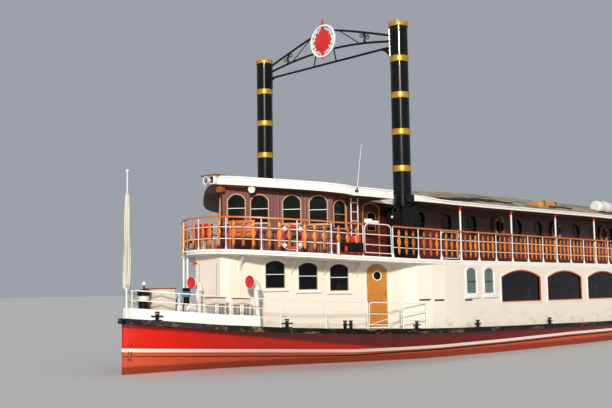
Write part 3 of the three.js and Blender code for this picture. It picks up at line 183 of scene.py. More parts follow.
def plain_deck_z(x):
    return 3.21 + 0.0055 * max(0.0, x - 7.44) ** 2


def upper_deck_z(x):
    return knotted(plain_deck_z, x)


def roof_z(x):
    """Underside of the roof."""
    def plain(at):
        return (plain_deck_z(at) + 1.84 + 0.1 * min(1.0, max(0.0, (7.44 - at) / 10))
                + 0.095 * max(0.0, at - 12))
    return knotted(plain, x)


def deck_half(x):
    share = min(1.0, max(0.0, (x - 7.44) / 7.93))
    return 4.15 * math.sqrt(1 - share * share)


def roof_half(x):
    return tabled(ROOF_PLAN, x)


def fascia(x):
    return tabled([(8.6, 0.11), (10.4, 0.25)], x)


def smoothed(column, x):
    reach = max(0.0, min(0.7, STEM_X - x, x - TRANSOM_X))
    return (tabled(HULL, x - reach, column) + 2 * tabled(HULL, x, column)
            + tabled(HULL, x + reach, column)) / 4


def deck_edge(x):
    return smoothed(1, min(x, STEM_X))


def spread(low, high, count):
    return [low + (high - low) * i / (count - 1) for i in range(count)]


def both_sides(path):
    """A port-side path that runs forward, then back along the starboard side."""
    return path + [Vector((p.x, -p.y, p.z)) for p in reversed(path)]


# Modelling helpers

DOUBLES = 1e-5


def clear():
    """Nothing is selected, so the next operator acts on the new piece alone."""
    if bpy.context.mode != "OBJECT":
        bpy.ops.object.mode_set(mode="OBJECT")
    bpy.ops.object.select_all(action="DESELECT")


def pick(piece):
    clear()
    piece.select_set(True)
    bpy.context.view_layer.objects.active = piece
    return piece


def applied(piece, kind, **settings):
    """The piece with one modifier added and applied."""
    pick(piece)
    modifier = piece.modifiers.new(kind.lower(), kind)
    for name, value in settings.items():
        setattr(modifier, name, value)
    bpy.ops.object.modifier_apply(modifier=modifier.name)
    return piece


def rounded(piece, width, segments=2):
    return applied(piece, "BEVEL", width=width, segments=segments, limit_method="ANGLE",
                   angle_limit=math.radians(35))


def block(size, at, turn=(0, 0, 0), bevel=0.006, segments=2):
    """A squared block with softened edges."""
    clear()
    bpy.ops.mesh.primitive_cube_add(size=1, location=at, rotation=turn, scale=size)
    bpy.ops.object.transform_apply(location=True, rotation=True, scale=True)
    return rounded(bpy.context.object, bevel, segments)


def rod(start, end, radius, sides=16, bevel=0.0):
    """A round bar from start to end."""
    start, end = Vector(start), Vector(end)
    along = end - start
    clear()
    bpy.ops.mesh.primitive_cylinder_add(
        vertices=sides, radius=radius, depth=along.length, location=(start + end) / 2,
        rotation=along.to_track_quat("Z", "Y").to_euler())
    bpy.ops.object.transform_apply(location=True, rotation=True, scale=True)
    piece = bpy.context.object
    return rounded(piece, bevel) if bevel else piece


def curved(paths, cyclic=False, radii=None):
    curve = bpy.data.curves.new("run", "CURVE")
    curve.dimensions = "3D"
    curve.fill_mode = "FULL"
    curve.use_fill_caps = True
    curve.twist_mode = "Z_UP"
    for path in paths:
        spline = curve.splines.new("POLY")
        spline.points.add(len(path) - 1)
        for i, place in enumerate(path):
            spline.points[i].co = (*place, 1)
            if radii:
                spline.points[i].radius = radii[i]
        spline.use_cyclic_u = cyclic
    piece = bpy.data.objects.new("run", curve)
    bpy.context.collection.objects.link(piece)
    return piece


def tubes(paths, radius, roundness=2, cyclic=False, radii=None):
    """Round tubes along the paths, as one mesh."""
    piece = curved(paths, cyclic, radii)
    piece.data.bevel_depth = radius
    piece.data.bevel_resolution = roundness
    pick(piece)
    bpy.ops.object.convert(target="MESH")
    return bpy.context.object


def swept(paths, section, cyclic=False):
    """A closed section of (across, up) pairs carried along the paths."""
    outline = bpy.data.curves.new("section", "CURVE")
    outline.dimensions = "2D"
    spline = outline.splines.new("POLY")
    spline.points.add(len(section) - 1)
    for point, (across, up) in zip(spline.points, section):
        point.co = (across, up, 0, 1)
    spline.use_cyclic_u = True
    profile = bpy.data.objects.new("section", outline)
    bpy.context.collection.objects.link(profile)
    piece = curved(paths, cyclic)
    piece.data.bevel_mode = "OBJECT"
    piece.data.bevel_object = profile
    pick(piece)
    bpy.ops.object.convert(target="MESH")
    piece = bpy.context.object
    bpy.data.objects.remove(profile)
    return faced(piece)


def closed(piece, merge=0.0):
    """Edit mode left with all faces turned outwards, and doubles merged if a distance is given."""
    bpy.ops.mesh.select_all(action="SELECT")
    if merge:
        bpy.ops.mesh.remove_doubles(threshold=merge)
    bpy.ops.mesh.normals_make_consistent(inside=False)
    bpy.ops.object.mode_set(mode="OBJECT")
    return piece


def faced(piece):
    """Doubles merged and faces turned outwards."""
    pick(piece)
    bpy.ops.object.mode_set(mode="EDIT")
    return closed(piece, DOUBLES)


def outlined(outline, fill="NGON"):
    """A flat face, or its bare edge, with the outline's (across, up) points in the XZ plane."""
    clear()
    bpy.ops.mesh.primitive_circle_add(vertices=len(outline), fill_type=fill)
    piece = bpy.context.object
    for vertex, (across, up) in zip(piece.data.vertices, outline):
        vertex.co = (across, 0, up)
    bpy.ops.object.mode_set(mode="EDIT")
    bpy.ops.mesh.select_all(action="SELECT")
    return piece


def board(outline, depth, bevel=0.0, segments=1):
    """A board with its face at y = 0 and its back at y = depth."""
    piece = outlined(outline)
    bpy.ops.mesh.extrude_region_move(TRANSFORM_OT_translate={"value": (0, depth, 0)})
    closed(piece)
    return rounded(piece, bevel, segments) if bevel else piece


def border(outline, width, depth, bevel=0.0):
    """A closed frame: the outline's rim, width across, from y = 0 to y = depth."""
    piece = outlined(outline)
    bpy.ops.mesh.inset(thickness=width, depth=0, use_even_offset=True)
    bpy.ops.mesh.delete(type="ONLY_FACE")
    bpy.ops.mesh.select_all(action="SELECT")
    bpy.ops.mesh.extrude_region_move(TRANSFORM_OT_translate={"value": (0, depth, 0)})
    closed(piece)
    return rounded(piece, bevel) if bevel else piece


def rectangle(half_across, half_up):
    return [(-half_across, -half_up), (half_across, -half_up), (half_across, half_up),
            (-half_across, half_up)]


def both_halves(right, middle=()):
    """An outline that is the same left and right, from its right half."""
    return [*right, *middle, *((-across, up) for across, up in reversed(right))]


def both_ends(low):
    """A profile that is the same about its middle, from the half below it."""
    return low + [(radius, -z) for radius, z in reversed(low)]


def turned(profile, at=(0, 0, 0), steps=24):
    """A turned body on the Z axis from (radius, z) pairs that start and end on the axis."""
    piece = outlined(profile, "NOTHING")
    bpy.ops.mesh.spin(steps=steps, angle=2 * math.pi, center=(0, 0, 0), axis=(0, 0, 1))
    return placed(closed(piece, DOUBLES), at)


def hoop(radius, tube, at=(0, 0, 0), turn=None, steps=32, sides=8):
    """A round ring; turn lays its axis, which is Z, along another direction."""
    clear()
    bpy.ops.mesh.primitive_torus_add(major_radius=radius, minor_radius=tube,
                                     major_segments=steps, minor_segments=sides)
    piece = bpy.context.object
    if turn is not None:
        piece.data.transform(Vector(turn).to_track_quat("Z", "Y").to_matrix().to_4x4())
    return placed(piece, at)


def coated(piece, finish):
    """The piece with one finish all over."""
    piece.data.materials.clear()
    piece.data.materials.append(PAINTS[finish].material)
    return piece


def all_coated(parts, finish):
    return [coated(part, finish) for part in parts]


def placed(piece, at, axis=None):
    """The piece moved to a place, after a quarter turn about an axis if one is named."""
    turn = Matrix.Rotation(math.pi / 2, 4, axis) if axis else Matrix()
    piece.data.transform(Matrix.Translation(at) @ turn)
    return piece


def merged(parts):
    """The parts as one mesh."""
    pick(parts[0])
    for part in parts[1:]:
        part.select_set(True)
    if len(parts) > 1:
        bpy.ops.object.join()
    return bpy.context.object


def repeated(master, places):
    """A copy of the master at each place, each with its own mesh. The master goes."""
    copies = []
    for place in places:
        copy = master.copy()
        copy.data = master.data.copy()
        copy.data.transform(place)
        if place.determinant() < 0:
            copy.data.flip_normals()
        bpy.context.collection.objects.link(copy)
        copies.append(copy)
    bpy.data.objects.remove(master)
    return copies


def joined(parts, name, body=VESSEL, smooth=35, replaces=(), place=Matrix()):
    """The parts as one named piece, moved by a matrix, that rides on a body."""
    piece = merged(parts)
    piece.data.transform(place)
    piece.name = name
    piece.data.name = name
    bpy.ops.object.shade_smooth_by_angle(angle=math.radians(smooth))
    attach(piece, body)
    if replaces:
        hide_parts(*replaces)
    return piece


def on_wall(at, out):
    """Matrix from a board's plane to a wall: X runs to the right as seen from outside, Y goes inward."""
    inward = -Vector(out).normalized()
    up = Vector((0, 0, 1))
    across = inward.cross(up)
    matrix = Matrix((across, inward, up)).transposed().to_4x4()
    return Matrix.Translation(at) @ matrix


def mirrored_too(places):
    return [m for place in places for m in (place, MIRROR @ place)]


def arch(width, height, rise, grow=0.0, steps=8):
    """Outline of an arched opening over its sill's centre, widened by grow all round."""
    half = width / 2
    radius = (half * half + rise * rise) / (2 * rise)
    centre = height - radius
    reach = math.asin(min(1.0, half / radius))
    outer = radius + grow
    points = [(-half - grow, -grow), (half + grow, -grow)]
    for i in range(steps + 1):
        angle = reach - 2 * reach * i / steps
        across = outer * math.sin(angle)
        if i in (0, steps):
            across = math.copysign(half + grow, across)
        points.append((across, centre + outer * math.cos(angle)))
    return points


# Materials

class Value:
    """A shader socket that takes part in sums."""

    def __init__(self, paint, socket):
        self.paint = paint
        self.socket = socket

    def _joined(self, operation, first, second):
        return self.paint.node("Math", {"operation": operation}, first, second)

    def __add__(self, other):
        return self._joined("ADD", self, other)

    def __radd__(self, other):
        return self._joined("ADD", other, self)

    def __sub__(self, other):
        return self._joined("SUBTRACT", self, other)

    def __rsub__(self, other):
        return self._joined("SUBTRACT", other, self)

    def __mul__(self, other):
        return self._joined("MULTIPLY", self, other)

    def __truediv__(self, other):
        return self._joined("DIVIDE", self, other)

    def __gt__(self, other):
        return self._joined("GREATER_THAN", self, other)

    def __lt__(self, other):
        return self._joined("LESS_THAN", self, other)


class Paint:
    """One procedural material and its nodes."""

    def __init__(self, name, colour, roughness=0.5, metallic=0.0, coat=0.0):
        self.material = bpy.data.materials.new(name)
        self.material.use_nodes = True
        self.tree = self.material.node_tree
        self.shader = self.tree.nodes["Principled BSDF"]
        self.shader.inputs["Roughness"].default_value = roughness
        self.shader.inputs["Metallic"].default_value = metallic
        self.shader.inputs["Coat Weight"].default_value = coat
        self.shader.inputs["Base Color"].default_value = (*colour, 1)
        self.coordinates = self.node("TexCoord", {}, output="Object")
        parts = self.tree.nodes.new("ShaderNodeSeparateXYZ")
        self.tree.links.new(self.coordinates.socket, parts.inputs[0])
        self.x, self.y, self.z = (Value(self, parts.outputs[i]) for i in range(3))

    def put(self, socket, value):
        if isinstance(value, Value):
            self.tree.links.new(value.socket, socket)
        elif hasattr(value, "__len__") and len(value) == 3 and len(socket.default_value) == 4:
            socket.default_value = (*value, 1)
        else:
            socket.default_value = value

    def node(self, kind, settings, *values, output=0, **named):
        """Any node, by type, with its settings and the values or links of its sockets."""
        made = self.tree.nodes.new("ShaderNode" + kind)
        for name, value in settings.items():
            setattr(made, name, value)
        for i, value in enumerate(values):
            self.put(made.inputs[i], value)
        for name, value in named.items():
            self.put(made.inputs[name.replace("_", " ")], value)
        return Value(self, made.outputs[output])

    def noise(self, scale, detail=4.0, stretch=(1, 1, 1), roughness=0.5):
        """Soft noise from 0 to 1; stretch divides the pattern's frequency along each axis."""
        place = self.node("Mapping", {}, self.coordinates, Scale=tuple(1 / s for s in stretch))
        return self.node("TexNoise", {}, Vector=place, Scale=scale, Detail=detail, Roughness=roughness)

    def rise(self, value, low, high):
        """0 below low and 1 above high, with a smooth step between."""
        return self.node("MapRange", {"interpolation_type": "SMOOTHSTEP"}, value, low, high, 0.0, 1.0)

    def ramp(self, value, ends, results):
        """A straight line between two results, level beyond both ends."""
        return self.node("MapRange", {}, value, *ends, *results)

    def facing(self, axis):
        """Part of the surface's normal along one axis."""
        geometry = self.tree.nodes.new("ShaderNodeNewGeometry")
        parts = self.tree.nodes.new("ShaderNodeSeparateXYZ")
        self.tree.links.new(geometry.outputs["Normal"], parts.inputs[0])
        return Value(self, parts.outputs[axis])

    def up(self):
        """Height of the surface's normal: 1 on a deck, 0 on a wall."""
        return self.facing(2)

    def planks(self, first, second):
        """Deck planks that run fore and aft, with dark seams."""
        grain = self.noise(9.0, 6.0, (14, 1, 1))
        tone = self.mix(grain, first, second)
        return self.mix(self.seams(self.y, 0.12, 0.012) * 0.9, tone, (0.03, 0.025, 0.02))

    def mix(self, share, first, second):
        made = self.tree.nodes.new("ShaderNodeMix")
        made.data_type = "RGBA"
        for index, value in ((0, share), (6, first), (7, second)):
            self.put(made.inputs[index], value)
        return Value(self, made.outputs[2])

    def seams(self, value, pitch, width):
        """1 in a seam of that width once every pitch, otherwise 0."""
        saw = self.node("Math", {"operation": "FRACT"}, value / pitch)
        off = self.node("Math", {"operation": "ABSOLUTE"}, saw - 0.5)
        return self.rise(off, 0.5 - width / pitch, 0.5)

    def band(self, value, middle, inner, outer):
        """1 within inner of the middle value, and 0 beyond outer."""
        below = self.rise(value, middle - outer, middle - inner)
        return below * (1 - self.rise(value, middle + inner, middle + outer))

    def colour(self, value):
        self.put(self.shader.inputs["Base Color"], value)

    def roughness(self, value):
        self.put(self.shader.inputs["Roughness"], value)

    def bump(self, height, strength=0.3, distance=0.01):
        made = self.node("Bump", {}, Height=height, Strength=strength, Distance=distance)
        self.put(self.shader.inputs["Normal"], made)


def matte(paint, level):
    """The paint with a weaker mirror image of the sky."""
    paint.shader.inputs["Specular IOR Level"].default_value = level
    return paint


def tint(colour, factor, towards=None, share=0.0):
    """A colour made lighter or darker, and drawn a share of the way towards another."""
    towards = towards or colour
    return tuple((c * factor) * (1 - share) + t * share for c, t in zip(colour, towards))


RUST = (0.30, 0.10, 0.03)
DIRT = (0.28, 0.24, 0.18)
SOOT = (0.20, 0.18, 0.16)
BARE_RED = (0.5, 0.02, 0.0)
PAINTS = {}


def painted(name, colour, roughness=0.45, metallic=0.0, coat=0.0, dirt=0.35, streak=True,
            stain=DIRT, scale=3.0):
    """Paint over metal or wood: soft changes of tone, runs of dirt, and slight unevenness."""
    paint = Paint(name, colour, roughness, metallic, coat)
    cloud = paint.noise(scale, 5.0)
    tone = paint.mix(cloud, tint(colour, 0.88), tint(colour, 1.06))
    runs = paint.noise(scale * 2.2, 6.0, (1, 1, 7) if streak else (1, 1, 1), 0.6)
    mask = paint.rise(runs, 0.56, 0.86) * dirt
    paint.colour(paint.mix(mask, tone, tint(colour, 0.75, stain, 0.5)))
    paint.roughness(roughness + cloud * 0.18 - 0.06)
    paint.bump(paint.noise(scale * 12, 3.0), 0.08, 0.004)
    return paint


def make_hull_paint(c):
    """Red topsides, a white line, a thin black one, and faded red down to the water."""
    paint = matte(Paint("hull_red", c.hull, 0.38, coat=0.08), 0.3)
    x, z = paint.x, paint.z
    # The line rises towards the stem and a little towards the stern
    centre = paint.ramp(x, (0.0, 8.0), (0.468, 0.382)) + paint.ramp(x, (11.3, 18.0), (0.0, 0.298))
    under = centre - paint.ramp(x, (9.5, 12.5), (0.110, 0.172))
    white = paint.band(z, centre, 0.045, 0.052)
    thick = paint.ramp(x, (9.0, 17.0), (0.036, 0.012))
    black = paint.band(z, under, thick * 0.6, thick)
    below = 1 - paint.rise(z, centre - 0.06, centre - 0.045)
    drift = paint.noise(0.7, 3.0)
    cloud = paint.noise(1.4, 6.0)
    fine = paint.noise(9.0, 6.0, (3, 1, 1))
    top = paint.mix(cloud, tint(c.hull, 0.80), tint(c.hull, 1.08))
    scuffed = paint.rise(paint.noise(2.6, 8.0, (2.5, 1, 1), 0.62), 0.60, 0.80) * 0.35
    top = paint.mix(scuffed, top, tint(c.hull, 0.55, RUST, 0.4))
    lower = paint.mix(fine, tint(c.boot, 0.85), tint(c.boot, 1.2))
    wet = 1 - paint.rise(z + drift * 0.06, 0.20, 0.29)
    lower = paint.mix(wet * 0.85, lower, tint(c.boot, 0.36, (0.20, 0.03, 0.01), 0.4))
    # Painted shade: the red is darkened in a wedge under the strake that widens towards the stern
    shade_line = paint.ramp(x, (7.6, 18.0), (0.13, 1.31)) + (drift - 0.5) * 0.05
    top = paint.mix(paint.rise(z, shade_line - 0.05, shade_line + 0.05) * 0.9, top, tint(c.hull, 0.17))
    colour = paint.mix(below, top, lower)
    colour = paint.mix(white, colour, c.stripe)
    colour = paint.mix(black, colour, tint(c.black, 1.5))
    deck = paint.rise(paint.up(), 0.8, 0.9)
    paint.colour(paint.mix(deck, colour, paint.planks((0.16, 0.11, 0.075), (0.24, 0.18, 0.13))))
    paint.roughness(0.32 + below * 0.22 + cloud * 0.12)
    plates = paint.seams(x + 0.3, 2.4, 0.03)
    paint.bump(plates * -0.6 + paint.noise(1.1, 4.0) * 1.2 + fine * 0.15, 0.25, 0.01)
    return paint


def make_maroon_boards(c):
    """Upright tongue-and-groove boards, round the prow as well as along the sides."""
    paint = Paint("maroon_boards", c.maroon, 0.42, coat=0.15)
    ahead = paint.node("Math", {"operation": "MAXIMUM"}, paint.x - 12.21, 0.0)
    along = paint.x + ahead * 0.588
    aft_wall = paint.x < -10.75
    along = along * (1 - aft_wall) + paint.y * aft_wall
    groove = paint.seams(along, 0.095, 0.012)
    boards = paint.node("Math", {"operation": "FLOOR"}, along / 0.095)
    shade = paint.node("TexWhiteNoise", {"noise_dimensions": "1D"}, W=boards)
    grain = paint.noise(5.0, 6.0, (1, 1, 14))
    tone = paint.mix(shade, tint(c.maroon, 0.78), tint(c.maroon, 1.25))
    tone = paint.mix(grain * 0.5, tone, tint(c.maroon, 0.6))
    # Painted shade: boards high up under the roof, aft of the prow, are darkened nearly to black
    shade_and_blackening = paint.rise(paint.z, 4.0, 4.75) * (1 - paint.rise(paint.x, 9.5, 12.0)) * 0.72
    tone = paint.mix(shade_and_blackening, tone, tint(c.maroon, 0.12))
    paint.colour(paint.mix(groove * 0.85, tone, tint(c.maroon, 0.22)))
    paint.roughness(0.36 + grain * 0.2)
    paint.bump(groove * -1.0 + grain * 0.12, 0.6, 0.008)
    return paint


def make_wood(name, colour, along=(1, 1, 1), roughness=0.3, coat=0.4, contrast=1.0):
    """Varnished wood, with its grain drawn out along one axis."""
    paint = Paint(name, colour, roughness, coat=coat)
    grain = paint.noise(16.0, 8.0, along, 0.62)
    figure = paint.noise(2.2, 4.0, along)
    tone = paint.mix(figure, tint(colour, 1 - 0.28 * contrast), tint(colour, 1 + 0.22 * contrast))
    lines = paint.rise(grain, 0.52, 0.72) * (0.55 * contrast)
    paint.colour(paint.mix(lines, tone, tint(colour, 0.45)))
    paint.roughness(roughness + grain * 0.2)
    paint.bump(grain, 0.12, 0.003)
    return paint


def make_trim(c):
    """Window trim: pale round the prow, and darkened along the sides as painted shade under the roof."""
    paint = Paint("saloon_window_trim", c.trim, 0.42)
    ahead = paint.rise(paint.x, 8.0, 11.5)
    paint.colour(paint.mix(ahead, (0.075, 0.05, 0.032), tint(c.trim, 0.95)))
    paint.bump(paint.noise(14.0, 4.0), 0.1, 0.003)
    return paint


def make_baluster_wood(c):
    """Varnished boards that differ from one to the next."""
    paint = Paint("baluster_wood", c.baluster, 0.36, coat=0.25)
    grain = paint.noise(16.0, 8.0, (1, 1, 9), 0.62)
    board = paint.noise(3.1, 0.0, (1, 1, 40))
    redder = tint(c.baluster, 0.62, BARE_RED, 0.15)
    tone = paint.mix(paint.rise(board, 0.3, 0.7), redder, tint(c.baluster, 1.1))
    paint.colour(paint.mix(paint.rise(grain, 0.5, 0.7) * 0.4, tone, tint(c.baluster, 0.4)))
    paint.bump(grain, 0.12, 0.003)
    return paint


def make_roof_canvas(c):
    """Painted boards on the roof's rim and worn canvas with seams and stains on its top."""
    paint = Paint("roof_canvas", c.canvas, 0.8)
    up = paint.up()
    top = paint.rise(up, 0.35, 0.6)
    under = paint.rise(up * -1, 0.5, 0.8)
    cloud = paint.noise(0.9, 7.0, (1, 1, 1), 0.65)
    stains = paint.rise(paint.noise(1.6, 9.0, (2.2, 1, 1), 0.7), 0.45, 0.60)
    worn = paint.mix(cloud, tint(c.canvas, 0.55), tint(c.canvas, 0.95))
    worn = paint.mix(stains * 0.85, worn, (0.10, 0.08, 0.05))
    seam = paint.seams(paint.x, 1.05, 0.03)
    worn = paint.mix(seam * 0.5, worn, (0.14, 0.12, 0.10))
    lines = paint.seams(paint.z, 0.083, 0.006) * 0.25
    streaks = paint.rise(paint.noise(6.0, 6.0, (1, 1, 5)), 0.58, 0.85) * 0.4
    rim = paint.mix(streaks + lines, tint(c.white, 0.98), tint(c.white, 0.6, DIRT, 0.5))
    weathered = paint.mix(stains, (0.24, 0.15, 0.08), (0.05, 0.03, 0.02))
    boards = paint.mix(paint.rise(paint.x, 13.8, 14.1), tint(c.maroon, 0.35, DIRT, 0.12), weathered)
    soffit = paint.mix(paint.seams(paint.y, 0.14, 0.012) * 0.6, boards, tint(c.maroon, 0.1))
    colour = paint.mix(top, rim, worn)
    # The forward-facing end faces by the funnel notch are painted black
    shade_and_blackening = (paint.x > 8.9) * (paint.x < 9.8) * paint.rise(paint.facing(0), 0.7, 0.9)
    paint.colour(paint.mix(shade_and_blackening, paint.mix(under, colour, soffit), tint(c.black, 1.0)))
    paint.roughness(0.55 + cloud * 0.3)
    paint.bump(seam * -1.0 + stains * 0.4 + cloud * 0.5, 0.35, 0.012)
    return paint


def make_deck(c):
    """White painted rim, grey planks on top and cream beneath."""
    paint = Paint("upper_deck_boards", c.white, 0.55)
    top = paint.rise(paint.up(), 0.6, 0.8)
    runs = paint.rise(paint.noise(5.0, 6.0, (1, 1, 5)), 0.58, 0.86) * 0.35
    rim = paint.mix(runs, c.white, tint(c.white, 0.6, DIRT, 0.5))
    paint.colour(paint.mix(top, rim, paint.planks((0.30, 0.23, 0.16), (0.46, 0.38, 0.28))))
    paint.bump(paint.noise(9.0, 6.0, (14, 1, 1)), 0.2, 0.004)
    return paint


def make_glass(name, colour, light):
    """Dark window glass, with the dim shapes of a room behind it."""
    paint = matte(Paint(name, colour, 0.14), 0.22)
    room = paint.noise(1.3, 3.0, (1, 1, 0.7))
    shapes = paint.rise(paint.noise(2.4, 5.0, (1, 1, 1.6), 0.55), 0.55, 0.72)
    tone = paint.mix(room, tint(colour, 0.5), tint(colour, 2.2))
    paint.colour(paint.mix(shapes * 0.35, tone, light))
    paint.bump(paint.noise(1.1, 2.0), 0.03, 0.01)
    return paint


def make_gold(c):
    paint = Paint("gold_leaf", c.gold, 0.32, metallic=0.55)
    cloud = paint.noise(7.0, 6.0)
    tone = paint.mix(cloud, tint(c.gold, 0.72), tint(c.gold, 1.25))
    worn = paint.rise(paint.noise(14.0, 8.0, (1, 1, 1), 0.7), 0.62, 0.8) * 0.45
    paint.colour(paint.mix(worn, tone, (0.16, 0.09, 0.03)))
    paint.roughness(0.26 + cloud * 0.24)
    paint.bump(paint.noise(30.0, 3.0), 0.06, 0.002)
    return paint


def make_paddle_wood(c):
    """Red paint over planks, worn and wet at the rim."""
    paint = Paint("wheel_red", c.hull, 0.5)
    grain = paint.noise(10.0, 7.0, (1, 9, 1), 0.6)
    cloud = paint.noise(2.0, 5.0)
    tone = paint.mix(cloud, tint(c.hull, 0.55), tint(c.hull, 0.9))
    bare = paint.rise(paint.noise(4.0, 9.0, (1, 5, 1), 0.7), 0.58, 0.72) * 0.7
    tone = paint.mix(bare, tone, (0.20, 0.12, 0.07))
    wet = 1 - paint.rise(paint.z, -0.1, 0.5)
    paint.colour(paint.mix(wet * 0.6, tone, (0.05, 0.035, 0.02)))
    paint.roughness(0.62 - wet * 0.35 + grain * 0.1)
    paint.bump(grain + bare * -0.5, 0.3, 0.006)
    return paint


def make_cloth(c):
    paint = Paint("flag_cloth", c.flag, 0.9)
    weave = paint.seams(paint.z, 0.006, 0.002) * paint.seams(paint.x + paint.y, 0.006, 0.002)
    cloud = paint.noise(3.0, 4.0)
    paint.colour(paint.mix(cloud, tint(c.flag, 0.8), tint(c.flag, 1.05)))
    paint.bump(weave + paint.noise(60.0, 2.0) * 0.5, 0.2, 0.002)
    paint.shader.inputs["Sheen Weight"].default_value = 0.25
    return paint


def make_strake_paint(c):
    paint = matte(Paint("strake_black", c.black, 0.5), 0.2)
    scrape = paint.rise(paint.noise(5.0, 9.0, (3.5, 1, 1), 0.72), 0.53, 0.66)
    cloud = paint.noise(3.0, 5.0)
    tone = paint.mix(cloud, tint(c.black, 0.8), tint(c.black, 1.8))
    paint.colour(paint.mix(scrape * 0.6, tone, (0.27, 0.20, 0.13)))
    paint.roughness(0.42 + scrape * 0.35)
    paint.bump(scrape * -0.7 + cloud * 0.5, 0.3, 0.006)
    return paint


def make_cream(c):
    """House sides: flat steel sheets with faint joints, runs of rust and grime low down."""
    paint = Paint("house_cream", c.cream, 0.42, coat=0.1)
    cloud = paint.noise(0.8, 5.0)
    tone = paint.mix(cloud, tint(c.cream, 0.93), tint(c.cream, 1.03))
    runs = paint.rise(paint.noise(5.0, 8.0, (1, 1, 9), 0.62), 0.60, 0.84)
    low = 1 - paint.rise(paint.z, 0.95, 1.75)
    tone = paint.mix(runs * 0.28, tone, tint(c.cream, 0.62, RUST, 0.25))
    tone = paint.mix(low * paint.rise(paint.noise(4.0, 8.0, (2, 2, 1), 0.65), 0.5, 0.7) * 0.5,
                     tone, tint(c.cream, 0.5, DIRT, 0.5))
    joint = paint.seams(paint.x - 0.2, 2.36, 0.012)
    paint.colour(paint.mix(joint * 0.22, tone, tint(c.cream, 0.5)))
    paint.roughness(0.38 + cloud * 0.16)
    paint.bump(joint * -0.5 + paint.noise(1.6, 3.0) * 0.8, 0.18, 0.008)
    return paint


def make_paints():
    """Every finish of the ship, by name."""
    c = colours()
    PAINTS.update(
        hull=make_hull_paint(c),
        strake=make_strake_paint(c),
        cream=make_cream(c),
        maroon=make_maroon_boards(c),
        deck=make_deck(c),
        roof=make_roof_canvas(c),
        wheel=make_paddle_wood(c),
        gold=make_gold(c),
        cloth=make_cloth(c),
        white=painted("white_paint", c.white, 0.38, coat=0.15, dirt=0.3),
        black=matte(painted("black_gloss", c.black, 0.22, coat=0.3, dirt=0.15, stain=SOOT), 0.15),
        iron=painted("dark_iron", (0.045, 0.043, 0.042), 0.5, metallic=0.4, dirt=0.5, stain=RUST, scale=6.0),
        enamel=painted("red_enamel", c.enamel, 0.3, coat=0.4, dirt=0.15),
        frame_red=make_wood("window_frame_red", c.frame_red, (6, 6, 6), 0.35, 0.3, 0.7),
        varnish=make_wood("varnished_rail", c.varnish, (8, 8, 1), 0.28, 0.5, 0.8),
        baluster=make_baluster_wood(c),
        trim=make_trim(c),
        trim_gold=painted("house_window_trim", (0.50, 0.33, 0.10), 0.4, dirt=0.3),
        # Painted shade: darker copies of the lifebuoy paints, for the lifebuoys under the roof
        dim_buoy=painted("shaded_lifebuoy", (0.17, 0.03, 0.02), 0.6, dirt=0.3, scale=8.0),
        dim_white=painted("shaded_lifebuoy_bands", (0.34, 0.26, 0.19), 0.6, dirt=0.3, scale=8.0),
        door=make_wood("varnished_door", c.door, (1, 1, 9), 0.3, 0.45, 1.0),
        board=make_wood("locker_lid", tint(c.varnish, 0.6), (1, 7, 1), 0.5, 0.1, 1.0),
        glass=make_glass("window_glass", c.glass, (0.05, 0.055, 0.055)),
        pale_glass=make_glass("obscured_glass", (0.10, 0.14, 0.13), (0.22, 0.26, 0.24)),
        plastic=painted("white_plastic", (0.80, 0.79, 0.75), 0.4, dirt=0.2),
        raft=painted("raft_orange", c.raft, 0.45, dirt=0.3),
        buoy=painted("lifebuoy_orange", c.buoy, 0.5, dirt=0.25, scale=8.0),
        bench=make_wood("bench_slats", c.frame_red, (8, 8, 1), 0.4, 0.2, 1.0),
        sky=painted("medallion_blue", c.sky, 0.4, dirt=0.1, scale=5.0),
        rope=painted("mooring_rope", c.rope, 0.8, dirt=0.4, scale=20.0),
    )


NODE_PAINTS = {
    "hull": "hull", "rubbing_strake": "strake", "bow_bulwark": "white", "upper_deck": "deck", "roof": "roof",
    "paddle_wheel": "wheel", "wheel_beam_port": "iron", "wheel_beam_starboard": "iron",
    "rudder_port": "hull", "rudder_starboard": "hull", "engine_block": "iron", "roof_ladder": "white",
    "glass_house_fore": "glass", "glass_house_aft": "glass", "glass_saloon_fore": "glass",
    "glass_saloon_aft": "glass", "house_wall_front": "cream", "house_wall_aft": "cream",
    "house_wall_port": "cream", "house_wall_starboard": "cream", "saloon_wall_port": "maroon",
    "saloon_wall_starboard": "maroon", "saloon_wall_aft": "maroon", "house_door_port": "door",
    "house_door_starboard": "door", "house_door_aft": "door", "saloon_door_port": "maroon",
    "saloon_door_starboard": "maroon", "saloon_door_aft": "door", "bow_locker": "cream",
    "deck_box_centre": "cream", "deck_box_port": "cream", "windlass": "iron", "jackstaff": "white",
    "bow_struts": "white", "funnel_casing_port": "black", "funnel_casing_starboard": "black",
}


class STEAMER_OT_paint(bpy.types.Operator):
    """Makes every finish and paints the frame's own parts"""
    bl_idname = "steamer.paint"
    bl_label = "Paint the frame"

    def execute(self, context):
        make_paints()
        for name, node in NODES.items():
            for slot in node.material_slots:
                slot.material = PAINTS[NODE_PAINTS.get(name, "white")].material
        return {"FINISHED"}


